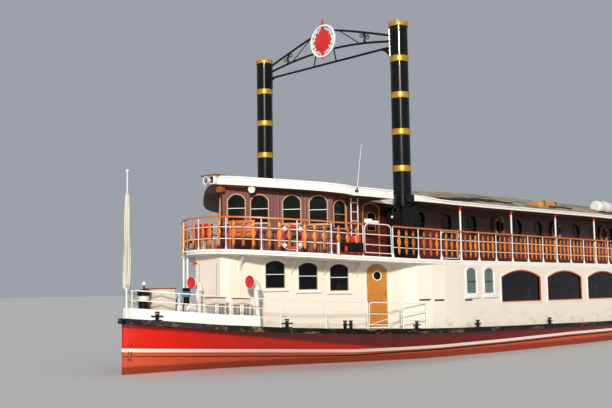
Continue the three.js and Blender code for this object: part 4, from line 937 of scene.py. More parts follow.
class STEAMER_OT_stage(bpy.types.Operator):
    """Sets the floor at the waterline, the soft light and the camera"""
    bl_idname = "steamer.stage"
    bl_label = "Stage"

    def execute(self, context):
        clear()
        bpy.ops.mesh.primitive_plane_add(size=FLOOR_SIZE, location=(0, 0, 0))
        floor = context.object
        floor.name = "floor"
        floor.data.materials.append(Paint("floor_pale", FLOOR_COLOUR, 0.75).material)
        world = bpy.data.worlds.new("studio")
        world.use_nodes = True
        back = world.node_tree.nodes["Background"]
        back.inputs["Color"].default_value = SKY_COLOUR
        back.inputs["Strength"].default_value = SKY_POWER
        context.scene.world = world
        lamp = bpy.data.lights.new("key", "SUN")
        lamp.energy = SUN_POWER
        lamp.angle = math.radians(SUN_SPREAD)
        lamp.color = SUN_COLOUR
        key = bpy.data.objects.new("key", lamp)
        context.collection.objects.link(key)
        key.rotation_mode = "QUATERNION"
        key.rotation_quaternion = aimed(SUN_BEARING, SUN_HEIGHT).to_track_quat("Z", "Y")
        camera = bpy.data.cameras.new("camera")
        camera.lens = CAMERA_LENS
        camera.sensor_width = 36
        camera.clip_end = 2000
        viewer = bpy.data.objects.new("camera", camera)
        context.collection.objects.link(viewer)
        roll = math.radians(CAMERA_ROLL)
        ahead = aimed(CAMERA_YAW, CAMERA_PITCH)
        right = ahead.cross(Vector((0, 0, 1))).normalized()
        up = right.cross(ahead)
        right, up = (right * math.cos(roll) + up * math.sin(roll),
                     up * math.cos(roll) - right * math.sin(roll))
        view = Matrix((right, up, -ahead)).transposed().to_4x4()
        viewer.matrix_world = Matrix.Translation(CAMERA_AT) @ view
        context.scene.camera = viewer
        context.scene.view_settings.view_transform = "Standard"
        return {"FINISHED"}


# Rails of the upper deck

RAIL_INSET, BAY = 0.06, 1.077
GATE_FROM, GATE_TO = 10.56, 11.64
DECK_CURVE = [9.0, 11.0, 13.0, 14.7, 15.1, 15.28]
RAIL_NOSE_X, RAIL_AFT_X = 15.302, -12.94
POST_PITCH, POST_INSET, POST_AFT = 3 * BAY, 0.085, 0.11
MID_RAILS = (0.32, 0.67)
BALUSTER_SHARES, BALUSTER_OUT, HANDRAIL_THICK = (0.22, 0.5, 0.78), 0.034, 0.048


def stations(low, high, extra=()):
    """Places where the frame's lines have a corner."""
    found = {low, high, *extra}
    found.update(KNOT * i for i in range(-9, 10))
    return sorted(x for x in found if low <= x <= high)


def rail_path(xs, side=1):
    return [Vector((x, side * (deck_half(x) - RAIL_INSET), upper_deck_z(x))) for x in xs]


def fore_rail():
    """Foot of the forward rail, from the port gate round the nose to the starboard one."""
    return both_sides(rail_path(stations(GATE_TO, RAIL_NOSE_X, DECK_CURVE)))


def left_of(along):
    return Vector((-along.y, along.x, 0)).normalized()


def lifted(path, height, out=0.0):
    """The path raised, and moved to its left in plan."""
    moved = []
    for i, point in enumerate(path):
        along = path[min(len(path) - 1, i + 1)] - path[max(0, i - 1)]
        moved.append(point + left_of(along) * out + Vector((0, 0, height)))
    return moved


def total(path):
    return sum((b - a).length for a, b in zip(path, path[1:]))


def at_run(path, run):
    """The place at a run along the path, and the level vector to its left there."""
    for start, end in zip(path, path[1:]):
        stretch = (end - start).length
        if run <= stretch + 1e-6:
            along = (end - start) / stretch
            return start + along * run, left_of(along)
        run -= stretch
    return path[-1], left_of(path[-1] - path[-2])


BALUSTER = [
    # share of the height, share of the half width
    (0.0, 0.10), (0.05, 0.38), (0.13, 0.62), (0.20, 0.58), (0.27, 0.36), (0.31, 0.32), (0.36, 0.55),
    (0.45, 0.92), (0.52, 1.0), (0.60, 0.86), (0.67, 0.50), (0.72, 0.32), (0.77, 0.44), (0.84, 0.70),
    (0.90, 0.62), (0.95, 0.36), (1.0, 0.10),
]


def baluster_board(low=0.10, high=0.885, thick=0.024):
    half = sizes().baluster / 2
    return board(both_halves([(w * half, low + s * (high - low)) for s, w in BALUSTER]), thick, 0.004)


def rounded_bar(half, thick, corner=0.012):
    """Section of a handrail: flat below and rounded above."""
    right = [(half, 0.0), (half, thick - corner)]
    for i in range(1, 6):
        angle = math.pi * i / 12
        right.append((half - corner + corner * math.cos(angle), thick - corner + corner * math.sin(angle)))
    return both_halves(right)


def stanchion(height, radius, flare):
    """A tube on a flared foot."""
    return turned([
        (0, 0), (flare, 0), (flare, 0.012), (flare * 0.5, 0.10), (radius, 0.18), (radius, height),
        (0, height),
    ], steps=12)


def upper_rail(name, path, flare, posts=()):
    """Stanchions, middle rails, balusters and handrail over one stretch of the deck's edge."""
    s = sizes()
    bays = round(total(path) / BAY)
    pitch = total(path) / bays
    places = [at_run(path, pitch * i) for i in range(bays + 1)]
    foot = coated(stanchion(s.rail_height - HANDRAIL_THICK + 0.002, s.rail_tube, flare), "white")
    parts = repeated(foot, [Matrix.Translation(at) for at, _ in places])
    for lift in MID_RAILS:
        parts.append(coated(tubes([lifted(path, lift)], s.rail_tube - 0.003, 3), "white"))
    joined(parts + list(posts), f"upper_{name}_stanchions",
           replaces=(f"upper_rail_{name}",))
    turns = []
    for bay in range(bays):
        for share in BALUSTER_SHARES:
            at, out = at_run(path, pitch * (bay + share))
            turns.append(on_wall(at + out * BALUSTER_OUT, out))
    boards = repeated(coated(baluster_board(), "baluster"), turns)
    joined(boards, f"upper_{name}_balusters", smooth=50)
    top = swept([lifted(path, s.rail_height - HANDRAIL_THICK)], rounded_bar(s.handrail / 2, HANDRAIL_THICK))
    joined([coated(top, "varnish")], f"upper_{name}_handrail",
           replaces=(f"handrail_{name}",))


CAPITAL = [
    # radius, z under the roof
    (0.03, -0.17), (0.05, -0.16), (0.05, -0.14), (0.040, -0.12), (0.044, -0.08), (0.075, -0.03),
    (0.085, -0.02),
    (0.085, 0), (0.03, 0),
]


def roof_posts():
    """Thin white posts with red capitals, just inboard of the rail."""
    parts = []
    x = GATE_FROM - POST_PITCH - POST_AFT
    while x > -12.7:
        low, high = upper_deck_z(x), roof_z(x) - 0.001
        for side in SIDES.values():
            at = Vector((x, side * (HOUSE_HALF - RAIL_INSET - POST_INSET), low))
            tall = high - low
            shaft = turned([(0, 0), (0.06, 0), (0.06, 0.02), (0.034, 0.05), (0.034, tall), (0, tall)], at,
                           14)
            parts.append(coated(shaft, "white"))
            capital = turned(CAPITAL, (at.x, at.y, high), 14)
            parts.append(coated(capital, "enamel"))
            lift = low + MID_RAILS[1]
            arm = rod((x, at.y, lift), (x, side * (HOUSE_HALF - RAIL_INSET), lift), 0.012, 8)
            parts.append(coated(arm, "white"))
        x -= POST_PITCH
    return parts


class STEAMER_OT_upper_rails(bpy.types.Operator):
    """Stanchions, rails, balusters, roof posts and handrails of the upper deck"""
    bl_idname = "steamer.upper_rails"
    bl_label = "Upper rails"

    def execute(self, context):
        upper_rail("fore", fore_rail(), 0.034)
        port = rail_path([RAIL_AFT_X] + stations(8.0, GATE_FROM, [9.0]))
        aft = both_sides(port)[len(port):] + port
        upper_rail("aft", aft, 0.055, roof_posts())
        return {"FINISHED"}


# Gates and the main deck's rails

GATE_PIVOT, GATE_PLAY, LUG = 0.062, 0.045, 0.062


def gate(name, body, ends, height, bars, corner, brace=False, cover=False):
    """A tube gate from its hinge end to its latch end, on the frame's own lines."""
    hinge_end, latch_end = ends
    along = (latch_end - hinge_end).normalized()
    hinge = hinge_end + along * GATE_PIVOT
    latch = latch_end - along * (GATE_PLAY + 0.02)
    tube, up = 0.018, Vector((0, 0, 1))
    quarter = spread(0, math.pi / 2, 6)
    loop = [hinge + up * (LUG + 0.001)]
    for foot, way, angles in ((hinge, along, quarter), (latch, -along, quarter[::-1])):
        for angle in angles:
            loop.append(foot + way * corner * (1 - math.cos(angle))
                        + up * (height - corner + corner * math.sin(angle)))
    loop.append(latch + up * bars[0])
    parts = [tubes([loop], tube, 3)]
    for lift in bars:
        parts.append(tubes([[hinge + up * lift, latch + up * lift]], tube - 0.004, 3))
    if brace:
        parts.append(tubes([[hinge + up * bars[0], latch + up * bars[-1]]], 0.011, 3))
    if cover:
        turn = math.atan2(along.y, along.x)
        for share, size, lift in ((0.14, (0.30, 0.10, 0.15), 0.075), (0.36, (0.34, 0.09, 0.10), 0.055)):
            at = latch + (hinge - latch) * share + up * (height + lift)
            parts.append(block(size, at, (0, 0, turn), 0.045, 3))
    joined(all_coated(parts, "white"), name + "_tubes", body, replaces=(name,))


DECK_RAIL_INSET, DECK_RAIL_BARS, DECK_RAIL_HEIGHT = 0.113, (0.26, 0.52, 0.80), 0.80
DECK_GATE_FROM, DECK_GATE_TO = 10.29, 11.69
HULL_NOSE = [9.0, 11.0, 13.0, 15.0, 16.5, 17.2, 17.7]


def deck_rail_path(xs, side=1):
    return [Vector((x, side * (deck_edge(x) - DECK_RAIL_INSET), main_deck_z(x))) for x in xs]


def deck_rail(name, path):
    bays, tube = max(1, round(total(path) / 1.4)), 0.017
    post = coated(stanchion(DECK_RAIL_HEIGHT, tube, 0.032), "white")
    parts = repeated(post,
                     [Matrix.Translation(at_run(path, run)[0]) for run in spread(0, total(path), bays + 1)])
    for lift in DECK_RAIL_BARS:
        thinner = 0.003 if lift < DECK_RAIL_HEIGHT else 0.0
        parts.append(coated(tubes([lifted(path, lift)], tube - thinner, 3), "white"))
    joined(parts, name + "_tubes", replaces=(name,))


class STEAMER_OT_deck_rails(bpy.types.Operator):
    """White tube rails and gates of both decks"""
    bl_idname = "steamer.deck_rails"
    bl_label = "Deck rails and gates"

    def execute(self, context):
        deck_rail("deck_rail_fore",
                  both_sides(deck_rail_path(stations(DECK_GATE_TO, HULL_NOSE[-1], HULL_NOSE))))
        for name, side in SIDES.items():
            deck_rail(f"deck_rail_{name}", deck_rail_path(stations(9.25, DECK_GATE_FROM, HULL_NOSE), side))
            ends = rail_path((GATE_FROM, GATE_TO), side)
            gate(f"upper_gate_{name}", f"upper_gate_{name[0]}", ends, 1.01, (0.11, 0.36, 0.68), 0.16,
                 cover=True)
            ends = deck_rail_path((DECK_GATE_TO, DECK_GATE_FROM), side)
            gate(f"deck_gate_{name}", f"deck_gate_{name[0]}", ends, 0.80, (0.12, 0.45), 0.12, brace=True)
        return {"FINISHED"}


# Windows and doors

SLANT_CORNER, SLANT_END = Vector((14.74, 0.8, 0)), Vector((9.9, 3.066, 0))
SLANT = (SLANT_END - SLANT_CORNER).normalized()
SLANT_OUT = Vector((SLANT.y, -SLANT.x, 0))
PROW_APEX = Vector((14.39, 0.04, 0))
PROW = (Vector((12.21, 2.73, 0)) - PROW_APEX).normalized()
PROW_OUT = Vector((PROW.y, -PROW.x, 0))
SLANT_RUNS = (1.44, 2.52, 3.57)
PROW_RUNS = (0.45, 1.18, 2.19, 3.02)
SALOON_XS = (11.88, 7.8, 6.2, 4.6, 3.0, 1.4, -0.2, -1.8, -3.4, -5.0, -6.6, -8.2, -9.7)
NARROW_XS = (6.87, 5.8)
WIDE_XS = (3.67, 0.455, -2.76, -5.975, -9.19)
HOUSE_DOOR_RUN, SALOON_DOOR_X = 4.885, 10.39
# Openings: width, height, rise of the arch
SLANT_WINDOW, NARROW_WINDOW, WIDE_WINDOW = (0.64, 0.86, 0.13), (0.61, 0.91, 0.13), (2.74, 1.16, 0.26)
SALOON_WINDOW = (0.56, 0.88, 0.2)
HOUSE_DOOR, SALOON_DOOR = (0.71, 2.01, 0.18), (0.70, 1.74, 0.12)
AFT_HOUSE_DOOR, AFT_SALOON_DOOR = (0.80, 1.95, 0.16), (0.80, 1.74, 0.12)


def slant(run, z):
    at = SLANT_CORNER + SLANT * run
    return on_wall((at.x, at.y, z(at.x)), SLANT_OUT)


def prow(run, z):
    at = PROW_APEX + PROW * run
    return on_wall((at.x, at.y, z(at.x)), PROW_OUT)


def side_wall(x, half, z):
    return on_wall((x, half, z), (0, 1, 0))


def shifted(parts, depth):
    """Parts moved from their plane, inwards if depth is positive."""
    for part in parts:
        part.data.transform(Matrix.Translation((0, depth, 0)))
    return parts


def bar_across(width, up, size, depth, deep=0.02):
    """A level bar across an opening, with its front face at that depth."""
    return block((width, deep, size), (0, depth + deep / 2, up), bevel=0.003, segments=1)


def window(shape, inner, inner_paint, outer, outer_paint, bars=(), bar_paint="white", sill=0.0, reach=0.035):
    """Trim of one arched window: a frame in the opening, a proud one round it, glazing bars and a sill."""
    width, height, rise = shape
    parts = []
    if inner:
        lining = border(arch(width, height, rise, 0.0, 10), inner, reach, 0.004)
        parts += shifted([coated(lining, inner_paint)], -0.008)
    if outer:
        hood = border(arch(width, height, rise, outer, 10), outer, 0.03, 0.005)
        parts += shifted([coated(hood, outer_paint)], -0.026)
    for up in bars:
        parts.append(coated(bar_across(width - 2 * inner, up, 0.022, 0.005), bar_paint))
    if sill:
        ledge = block((width + 2 * outer + 0.10, 0.09, sill), (0, -0.035, -outer - sill / 2), bevel=0.008)
        parts.append(coated(ledge, outer_paint))
    return parts


def place_windows(name, parts, places):
    """The window's trim at each place and its mirror image, as one piece."""
    joined(repeated(merged(parts), mirrored_too(places)), name)


def pane(shape, glass, places, name):
    """Panes of another glass, just in front of the frame's own sheet."""
    width, height, rise = shape
    sheet = board(arch(width - 0.02, height - 0.01, rise, 0.0, 10), 0.006)
    shifted([coated(sheet, glass)], 0.048)
    joined(repeated(sheet, mirrored_too(places)), name)


class STEAMER_OT_windows(bpy.types.Operator):
    """Frames, hoods, bars and sills of every window"""
    bl_idname = "steamer.windows"
    bl_label = "Windows"

    def execute(self, context):
        places = [slant(run, lambda x: upper_deck_z(x) - 1.06) for run in SLANT_RUNS]
        parts = window(SLANT_WINDOW, 0.022, "trim_gold", 0.055, "white", (0.43,), sill=0.035)
        place_windows("slant_window_frames", parts, places)
        places = [side_wall(x, HOUSE_HALF, 2.08) for x in NARROW_XS]
        parts = window(NARROW_WINDOW, 0.03, "white", 0.085, "white", (0.42,), "iron", 0.05)
        place_windows("narrow_window_frames", parts, places)
        pane(NARROW_WINDOW, "pale_glass", places, "narrow_window_panes")
        places = [side_wall(x, HOUSE_HALF, 1.76) for x in WIDE_XS]
        parts = window(WIDE_WINDOW, 0.045, "frame_red", 0.045, "white")
        place_windows("wide_window_frames", parts, places)
        prow_places = [prow(run, lambda x: upper_deck_z(x) + 0.97) for run in PROW_RUNS]
        side_places = [side_wall(x, SALOON_HALF, upper_deck_z(x) + 0.87) for x in SALOON_XS]
        for name, places, bar in (("prow", prow_places, "white"), ("saloon", side_places, "trim")):
            parts = window(SALOON_WINDOW, 0.014, "trim", 0.024, "trim", (0.44,), bar, 0.03)
            place_windows(name + "_window_frames", parts, places)
        return {"FINISHED"}


def door_trim(name, body, place, shape, wood, porthole):
    """Planked face, rails, porthole or pane, and handle on one door leaf."""
    width, height, rise = shape
    trim = 0.07
    inside = [(a, z + trim) for a, z in arch(width - 2 * trim, height - 2 * trim, rise, 0.0, 10)]
    parts = shifted([coated(board(inside, 0.012, 0.003), wood)], -0.006)
    for up in (0.62, 1.06):
        cross = block((width - 2 * trim, 0.014, 0.10), (0, -0.008, up), bevel=0.004)
        parts.append(coated(cross, wood))
    if porthole:
        centre = height * 0.81
        rim = hoop(0.145, 0.020, (0, -0.010, centre), (0, 1, 0), 40, 10)
        parts.append(coated(rim, "white"))
        disc = turned([(0, -0.006), (0.14, -0.006), (0.14, 0.002), (0, 0.002)], steps=40)
        parts.append(coated(placed(disc, (0, -0.012, centre), "X"), "glass"))
    else:
        light = [(a, z + height - 0.86) for a, z in arch(width - 0.26, 0.62, 0.08, 0.0, 8)]
        parts += shifted([coated(board(light, 0.006), "glass")], -0.011)
        parts += shifted([coated(border(light, 0.022, 0.014, 0.003), "gold")], -0.018)
    knob = 1 if name.endswith("port") else -1
    grip_x = (width / 2 - 0.085) * knob
    parts.append(coated(tubes([[(grip_x, -0.006, 0.98), (grip_x, -0.05, 0.99), (grip_x, -0.05, 1.13),
                                (grip_x, -0.006, 1.14)]], 0.010, 2), "iron"))
    joined(parts, name + "_trim", body, place=place)


class STEAMER_OT_doors(bpy.types.Operator):
    """Faces, portholes and handles on the doors, and the trim round them"""
    bl_idname = "steamer.doors"
    bl_label = "Doors"

    def execute(self, context):
        flip = Matrix.Diagonal((-1, 1, 1, 1))
        house = slant(HOUSE_DOOR_RUN, lambda x: main_deck_z(x) + 0.04)
        saloon = side_wall(SALOON_DOOR_X, SALOON_HALF, upper_deck_z(SALOON_DOOR_X) + 0.02)
        aft_house = on_wall((-12.2, 0, main_deck_z(-12.2) + 0.04), (-1, 0, 0))
        aft_saloon = on_wall((-10.8, 0, 3.23), (-1, 0, 0))
        leaves = [
            # deck, end of the ship, place, shape, finish, slot
            ("house", "port", house, HOUSE_DOOR, "door", "varnished_wood"),
            ("saloon", "port", saloon, SALOON_DOOR, "maroon", "maroon_boards"),
            ("house", "starboard", MIRROR @ house @ flip, HOUSE_DOOR, "door", "varnished_wood"),
            ("saloon", "starboard", MIRROR @ saloon @ flip, SALOON_DOOR, "maroon", "maroon_boards"),
            ("house", "aft", aft_house, AFT_HOUSE_DOOR, "door", "varnished_wood"),
            ("saloon", "aft", aft_saloon, AFT_SALOON_DOOR, "door", "varnished_wood"),
        ]
        for deck, end, place, shape, wood, slot in leaves:
            door_trim(f"{deck}_door_{end}", f"{deck}_door_{end[0]}", place, shape, wood, deck == "house")
        surrounds = [
            # name, places, shape, finish, slot
            ("house", mirrored_too([house]), HOUSE_DOOR, "white", "white_paint"),
            ("saloon", mirrored_too([saloon]), SALOON_DOOR, "gold", "maroon_boards"),
            ("aft_house", [aft_house], AFT_HOUSE_DOOR, "white", "white_paint"),
            ("aft_saloon", [aft_saloon], AFT_SALOON_DOOR, "gold", "maroon_boards"),
        ]
        for name, places, shape, finish, slot in surrounds:
            hood = border(arch(*shape, 0.078, 10), 0.045, 0.02, 0.004)
            shifted([coated(hood, finish)], -0.016)
            joined(repeated(hood, places), name + "_door_surround")
        return {"FINISHED"}


class STEAMER_OT_fittings(bpy.types.Operator):
    """Knees under the deck, vents, bitts, mouldings and front seams of the house"""
    bl_idname = "steamer.fittings"
    bl_label = "House fittings"

    def execute(self, context):
        web = [(0, 0), (-0.44, 0), (-0.40, -0.06), (-0.24, -0.14), (-0.12, -0.26), (-0.05, -0.42),
               (0, -0.46)]
        knee = coated(board(web, 0.05, 0.006), "cream")
        knee.data.transform(Matrix.Rotation(math.pi / 2, 4, "Z") @ Matrix.Translation((0, -0.025, 0)))
        places = [slant(run, lambda x: upper_deck_z(x) - DECK_PLATE) for run in (0.32, 1.98, 3.06, 4.18)]
        joined(repeated(knee, mirrored_too(places)), "deck_knees")
        slot = [coated(block((0.42, 0.02, 0.05), (0, 0, 0), bevel=0.004), "iron"),
                coated(block((0.48, 0.05, 0.014), (0, -0.02, 0.04), bevel=0.004), "cream")]
        places = [on_wall(at, out) for at, out in (((7.08, HOUSE_HALF, 1.88), (0, 1, 0)),
                                                   ((8.60, 4.055, 1.90), (0.18, 1, 0)),
                                                   ((9.15, 3.895, 1.92), (0.37, 1, 0)))]
        place_windows("house_vents", slot, places)
        for name, posts, xs in (("single", (0,), (17.4, 14.36, 9.88, 6.68, 1.9, -4.4, -11.6)),
                                ("double", (-0.1, 0.1), (12.52,))):
            bitt = [rod((-0.17, 0, 0.12), (0.17, 0, 0.12), 0.02, 12, 0.004),
                    block((0.28, 0.085, 0.02), (0, 0, 0.01), bevel=0.004)]
            for dx in posts:
                bitt += [rod((dx, 0, 0), (dx, 0, 0.22), 0.05, 20, 0.006),
                         rod((dx, 0, 0.22), (dx, 0, 0.25), 0.065, 20, 0.008)]
            places = []
            for x in xs:
                turn = math.atan2(deck_edge(x + 0.2) - deck_edge(x - 0.2), 0.4)
                places.append(Matrix.Translation((x, deck_edge(x) + 0.046, main_deck_z(x) - 0.003))
                              @ Matrix.Rotation(turn, 4, "Z"))
            place_windows(name + "_bitts", all_coated(bitt, "black"), places)
        half_round = [(0.0, -0.016), (-0.012, -0.012), (-0.018, 0.0), (-0.012, 0.012), (0.0, 0.016)]
        rim = [Vector((x, deck_half(x), upper_deck_z(x) - DECK_PLATE / 2))
               for x in spread(7.44, 15.0, 20) + [15.15, 15.26, 15.33, 15.362]]
        joined([coated(swept([both_sides(rim)], half_round), "white")], "deck_nosing")
        xs = stations(-12.8, 14.74, [8.6, NOTCH_AFT, NOTCH_FORE, *(x for x, _ in ROOF_PLAN)])
        top = [Vector((x, roof_half(x), roof_z(x) + fascia(x))) for x in xs]
        low = [Vector((x, roof_half(x), roof_z(x) + 0.02)) for x in xs if x >= NOTCH_FORE]
        fore, aft = [p for p in top if p.x >= NOTCH_FORE], [p for p in top if p.x <= NOTCH_AFT]
        lip = [(0.004, -0.03), (-0.03, -0.028), (-0.036, 0.0), (-0.03, 0.016), (0.02, 0.02)]
        lines = [both_sides(fore), aft, both_sides(aft)[len(aft):], both_sides(low)]
        joined([coated(swept(lines, lip), "white")], "roof_mouldings")
        seams = [coated(block((0.006, 0.012, 1.7), (14.94, side * 0.42, 2.3), bevel=0.001), "iron")
                 for side in SIDES.values()]
        joined(seams, "house_front_seams")
        return {"FINISHED"}


# Funnels, their truss and the compass rose

BAND_TOPS, BAND_HEIGHT = (6.30, 7.52, 8.75, 9.98), 0.2
CASING_TOP, CASING_HALF_X, CASING_HALF_Y = 4.95, 0.41, 0.32
CROWN_FOOT = [
    # distance outside the funnel, z
    (-0.01, 10.985), (0.024, 10.985), (0.032, 11.0), (0.032, 11.03), (0.024, 11.05), (0.026, 11.08),
    (-0.01, 11.08),
]


def leaf(width, height):
    """A pointed leaf with a notch at each shoulder."""
    half = width / 2
    right = [(half * 0.72, 0), (half * 0.80, height * 0.18), (half, height * 0.30),
             (half * 0.42, height * 0.46),
             (half * 0.18, height * 0.75)]
    return both_halves(right, [(0, height)])


class STEAMER_OT_funnels(bpy.types.Operator):
    """Black funnels with gilded bands and crowns, on fluted casings"""
    bl_idname = "steamer.funnels"
    bl_label = "Funnels"

    def execute(self, context):
        s = sizes()
        r = s.funnel
        for name, side in SIDES.items():
            y = side * FUNNEL_Y
            at = (FUNNEL_X, y, 0)
            rim = r + 0.016
            pipe = turned([(0, CASING_TOP), (r + 0.02, CASING_TOP), (r + 0.02, CASING_TOP + 0.05),
                           (r, CASING_TOP + 0.07),
                           (r, FUNNEL_TOP + 0.04), (r - 0.03, FUNNEL_TOP + 0.04), (r - 0.03, 9.5), (0, 9.5)],
                          at, 64)
            parts = [coated(pipe, "black")]
            for top in BAND_TOPS:
                low = top - BAND_HEIGHT
                band = turned([(r - 0.01, low), (r + 0.010, low), (rim, low + 0.012), (rim, low + 0.03),
                               (r + 0.009, low + 0.04), (r + 0.012, low + 0.10), (r + 0.009, top - 0.04),
                               (rim, top - 0.03), (rim, top - 0.012), (r + 0.010, top), (r - 0.01, top)],
                              at, 64)
                parts.append(coated(band, "gold"))
            foot = turned([(r + out, z) for out, z in CROWN_FOOT], at, 64)
            parts.append(coated(foot, "gold"))
            point = coated(board(leaf(0.118, 0.14), 0.012, 0.003), "gold")
            turns = []
            for i in range(s.crown_points):
                angle = 2 * math.pi * (i + 0.5) / s.crown_points
                out = Vector((math.cos(angle), math.sin(angle), 0))
                tilt = Matrix.Rotation(math.radians(9), 4, "X")
                turns.append(on_wall(Vector((FUNNEL_X, y, 11.06)) + out * (r + 0.027), out) @ tilt)
            parts += repeated(point, turns)
            joined(parts, f"funnel_{name}_dressed", replaces=(f"funnel_{name}",),
                   smooth=30)
            self.casing(name, y)
        return {"FINISHED"}

    def casing(self, name, y):
        """Upright half-round ribs on the casing's four faces, with a plinth and a cornice."""
        low = upper_deck_z(FUNNEL_X)
        parts = []
        for dx, dy, count, wide in ((0, CASING_HALF_Y, 9, 2 * CASING_HALF_X),
                                    (CASING_HALF_X, 0, 7, 2 * CASING_HALF_Y)):
            for i in range(count):
                along = (i - (count - 1) / 2) * wide / count
                for side in (1, -1):
                    place = (FUNNEL_X + (side * dx or along), y + (side * dy or along))
                    parts.append(rod((*place, low + 0.12), (*place, CASING_TOP - 0.10), 0.03, 12))
        for z, tall, grow in ((low + 0.06, 0.12, 0.04), (CASING_TOP - 0.06, 0.08, 0.035),
                              (CASING_TOP + 0.01, 0.03, 0.05)):
            rim = border(rectangle(CASING_HALF_X + grow, CASING_HALF_Y + grow), grow + 0.02, tall, 0.008)
            rim.data.transform(MIRROR)
            parts.append(faced(placed(rim, (FUNNEL_X, y, z - tall / 2), "X")))
        joined(all_coated(parts, "black"), f"casing_{name}_mouldings")


TRUSS_X, ROSE_Z = FUNNEL_X + 0.09, 11.18
# Each chord: z at the funnels, z at the middle, roundness
TRUSS_LOW, TRUSS_MIDDLE, TRUSS_HIGH = (10.35, 10.35, 1), (10.49, 10.845, 2), (10.66, 11.60, 1.15)
GUSSET = [
    # y, drop under the lower chord
    (2.40, 0), (2.62, 0.04), (2.80, 0.12), (2.90, 0.23), (2.96, 0.33), (3.02, 0.33), (3.02, 0),
]


def on_chord(chord, y, side=1):
    ends, crest, power = chord
    return Vector((TRUSS_X, side * y, ends + (crest - ends) * (1 - abs(y / FUNNEL_Y) ** power)))


def scroll(centre, size, hand):
    """A flat C-scroll in the truss's plane that winds in to a tight eye."""
    points = []
    for i in range(25):
        angle = math.pi / 2 - hand * 2 * math.pi * 1.2 * i / 24
        reach = size * (1 - 0.75 * i / 24)
        points.append(centre + Vector((0, reach * math.cos(angle), reach * math.sin(angle))))
    return points


class STEAMER_OT_truss(bpy.types.Operator):
    """The arched truss between the funnels, with its scrolls, gussets and saddle plates"""
    bl_idname = "steamer.truss"
    bl_label = "Funnel truss"

    def execute(self, context):
        reach = FUNNEL_Y - sizes().funnel + 0.004
        parts = []
        for chord in (TRUSS_LOW, TRUSS_MIDDLE, TRUSS_HIGH):
            parts.append(tubes([[on_chord(chord, y) for y in spread(-reach, reach, 41)]], 0.040, 4))
        for side in SIDES.values():
            for low, low_y, high, high_y, radius in ((TRUSS_LOW, 0.55, TRUSS_MIDDLE, 0.43, 0.024),
                                                     (TRUSS_MIDDLE, 1.68, TRUSS_HIGH, 0.68, 0.018)):
                parts.append(tubes([[on_chord(low, low_y, side), on_chord(high, high_y, side)]], radius, 3))
            low, high = (on_chord(chord, 1.88, side) for chord in (TRUSS_MIDDLE, TRUSS_HIGH))
            tall = high.z - low.z
            post = turned([(0, 0), (0.05, 0.02), (0.05, 0.06), (0.034, 0.09), (0.034, tall - 0.16),
                           (0.040, tall - 0.12),
                           (0.026, tall - 0.09), (0.055, tall), (0, tall)], low, 16)
            parts.append(post)
            for hand in (1, -1):
                eye = Vector((TRUSS_X, low.y + hand * 0.15, high.z - 0.13 - 0.06 * hand * side))
                parts.append(tubes([scroll(eye, 0.105, -hand)], 0.017, 2))
            web = board([(side * y, -drop) for y, drop in GUSSET], 0.03, 0.004)
            parts.append(placed(web, (TRUSS_X + 0.015, 0, TRUSS_LOW[0]), "Z"))
            parts += self.saddle(side)
        joined(all_coated(parts, "black"), "truss_dressed", replaces=("funnel_truss",))
        return {"FINISHED"}

    def saddle(self, side):
        """A curved plate on the funnel's inboard side, with bolts down both edges."""
        low, high = 10.02, 10.93
        middle, half = (low + high) / 2, (high - low) / 2

        def at(angle, z, out=0.0):
            reach = sizes().funnel + 0.009 + out
            across = side * (FUNNEL_Y - reach * math.cos(angle))
            return Vector((FUNNEL_X + reach * math.sin(angle), across, z))
        parts = [swept([[at(angle, middle) for angle in spread(-0.76, 0.76, 17)]], rectangle(0.009, half))]
        for angle in (-0.66, 0.66):
            for z in spread(low + 0.06, high - 0.06, 8):
                parts.append(rod(at(angle, z), at(angle, z, 0.022), 0.012, 8))
        return parts


def star(points, inner, outer, up=None, down=None):
    """Outline of a star; its top and bottom points may have a reach of their own."""
    longer = {0: up or outer, points: down or outer}
    outline = []
    for i in range(2 * points):
        angle = math.pi * i / points
        reach = inner if i % 2 else longer.get(i, outer)
        outline.append((reach * math.sin(angle), reach * math.cos(angle)))
    return outline


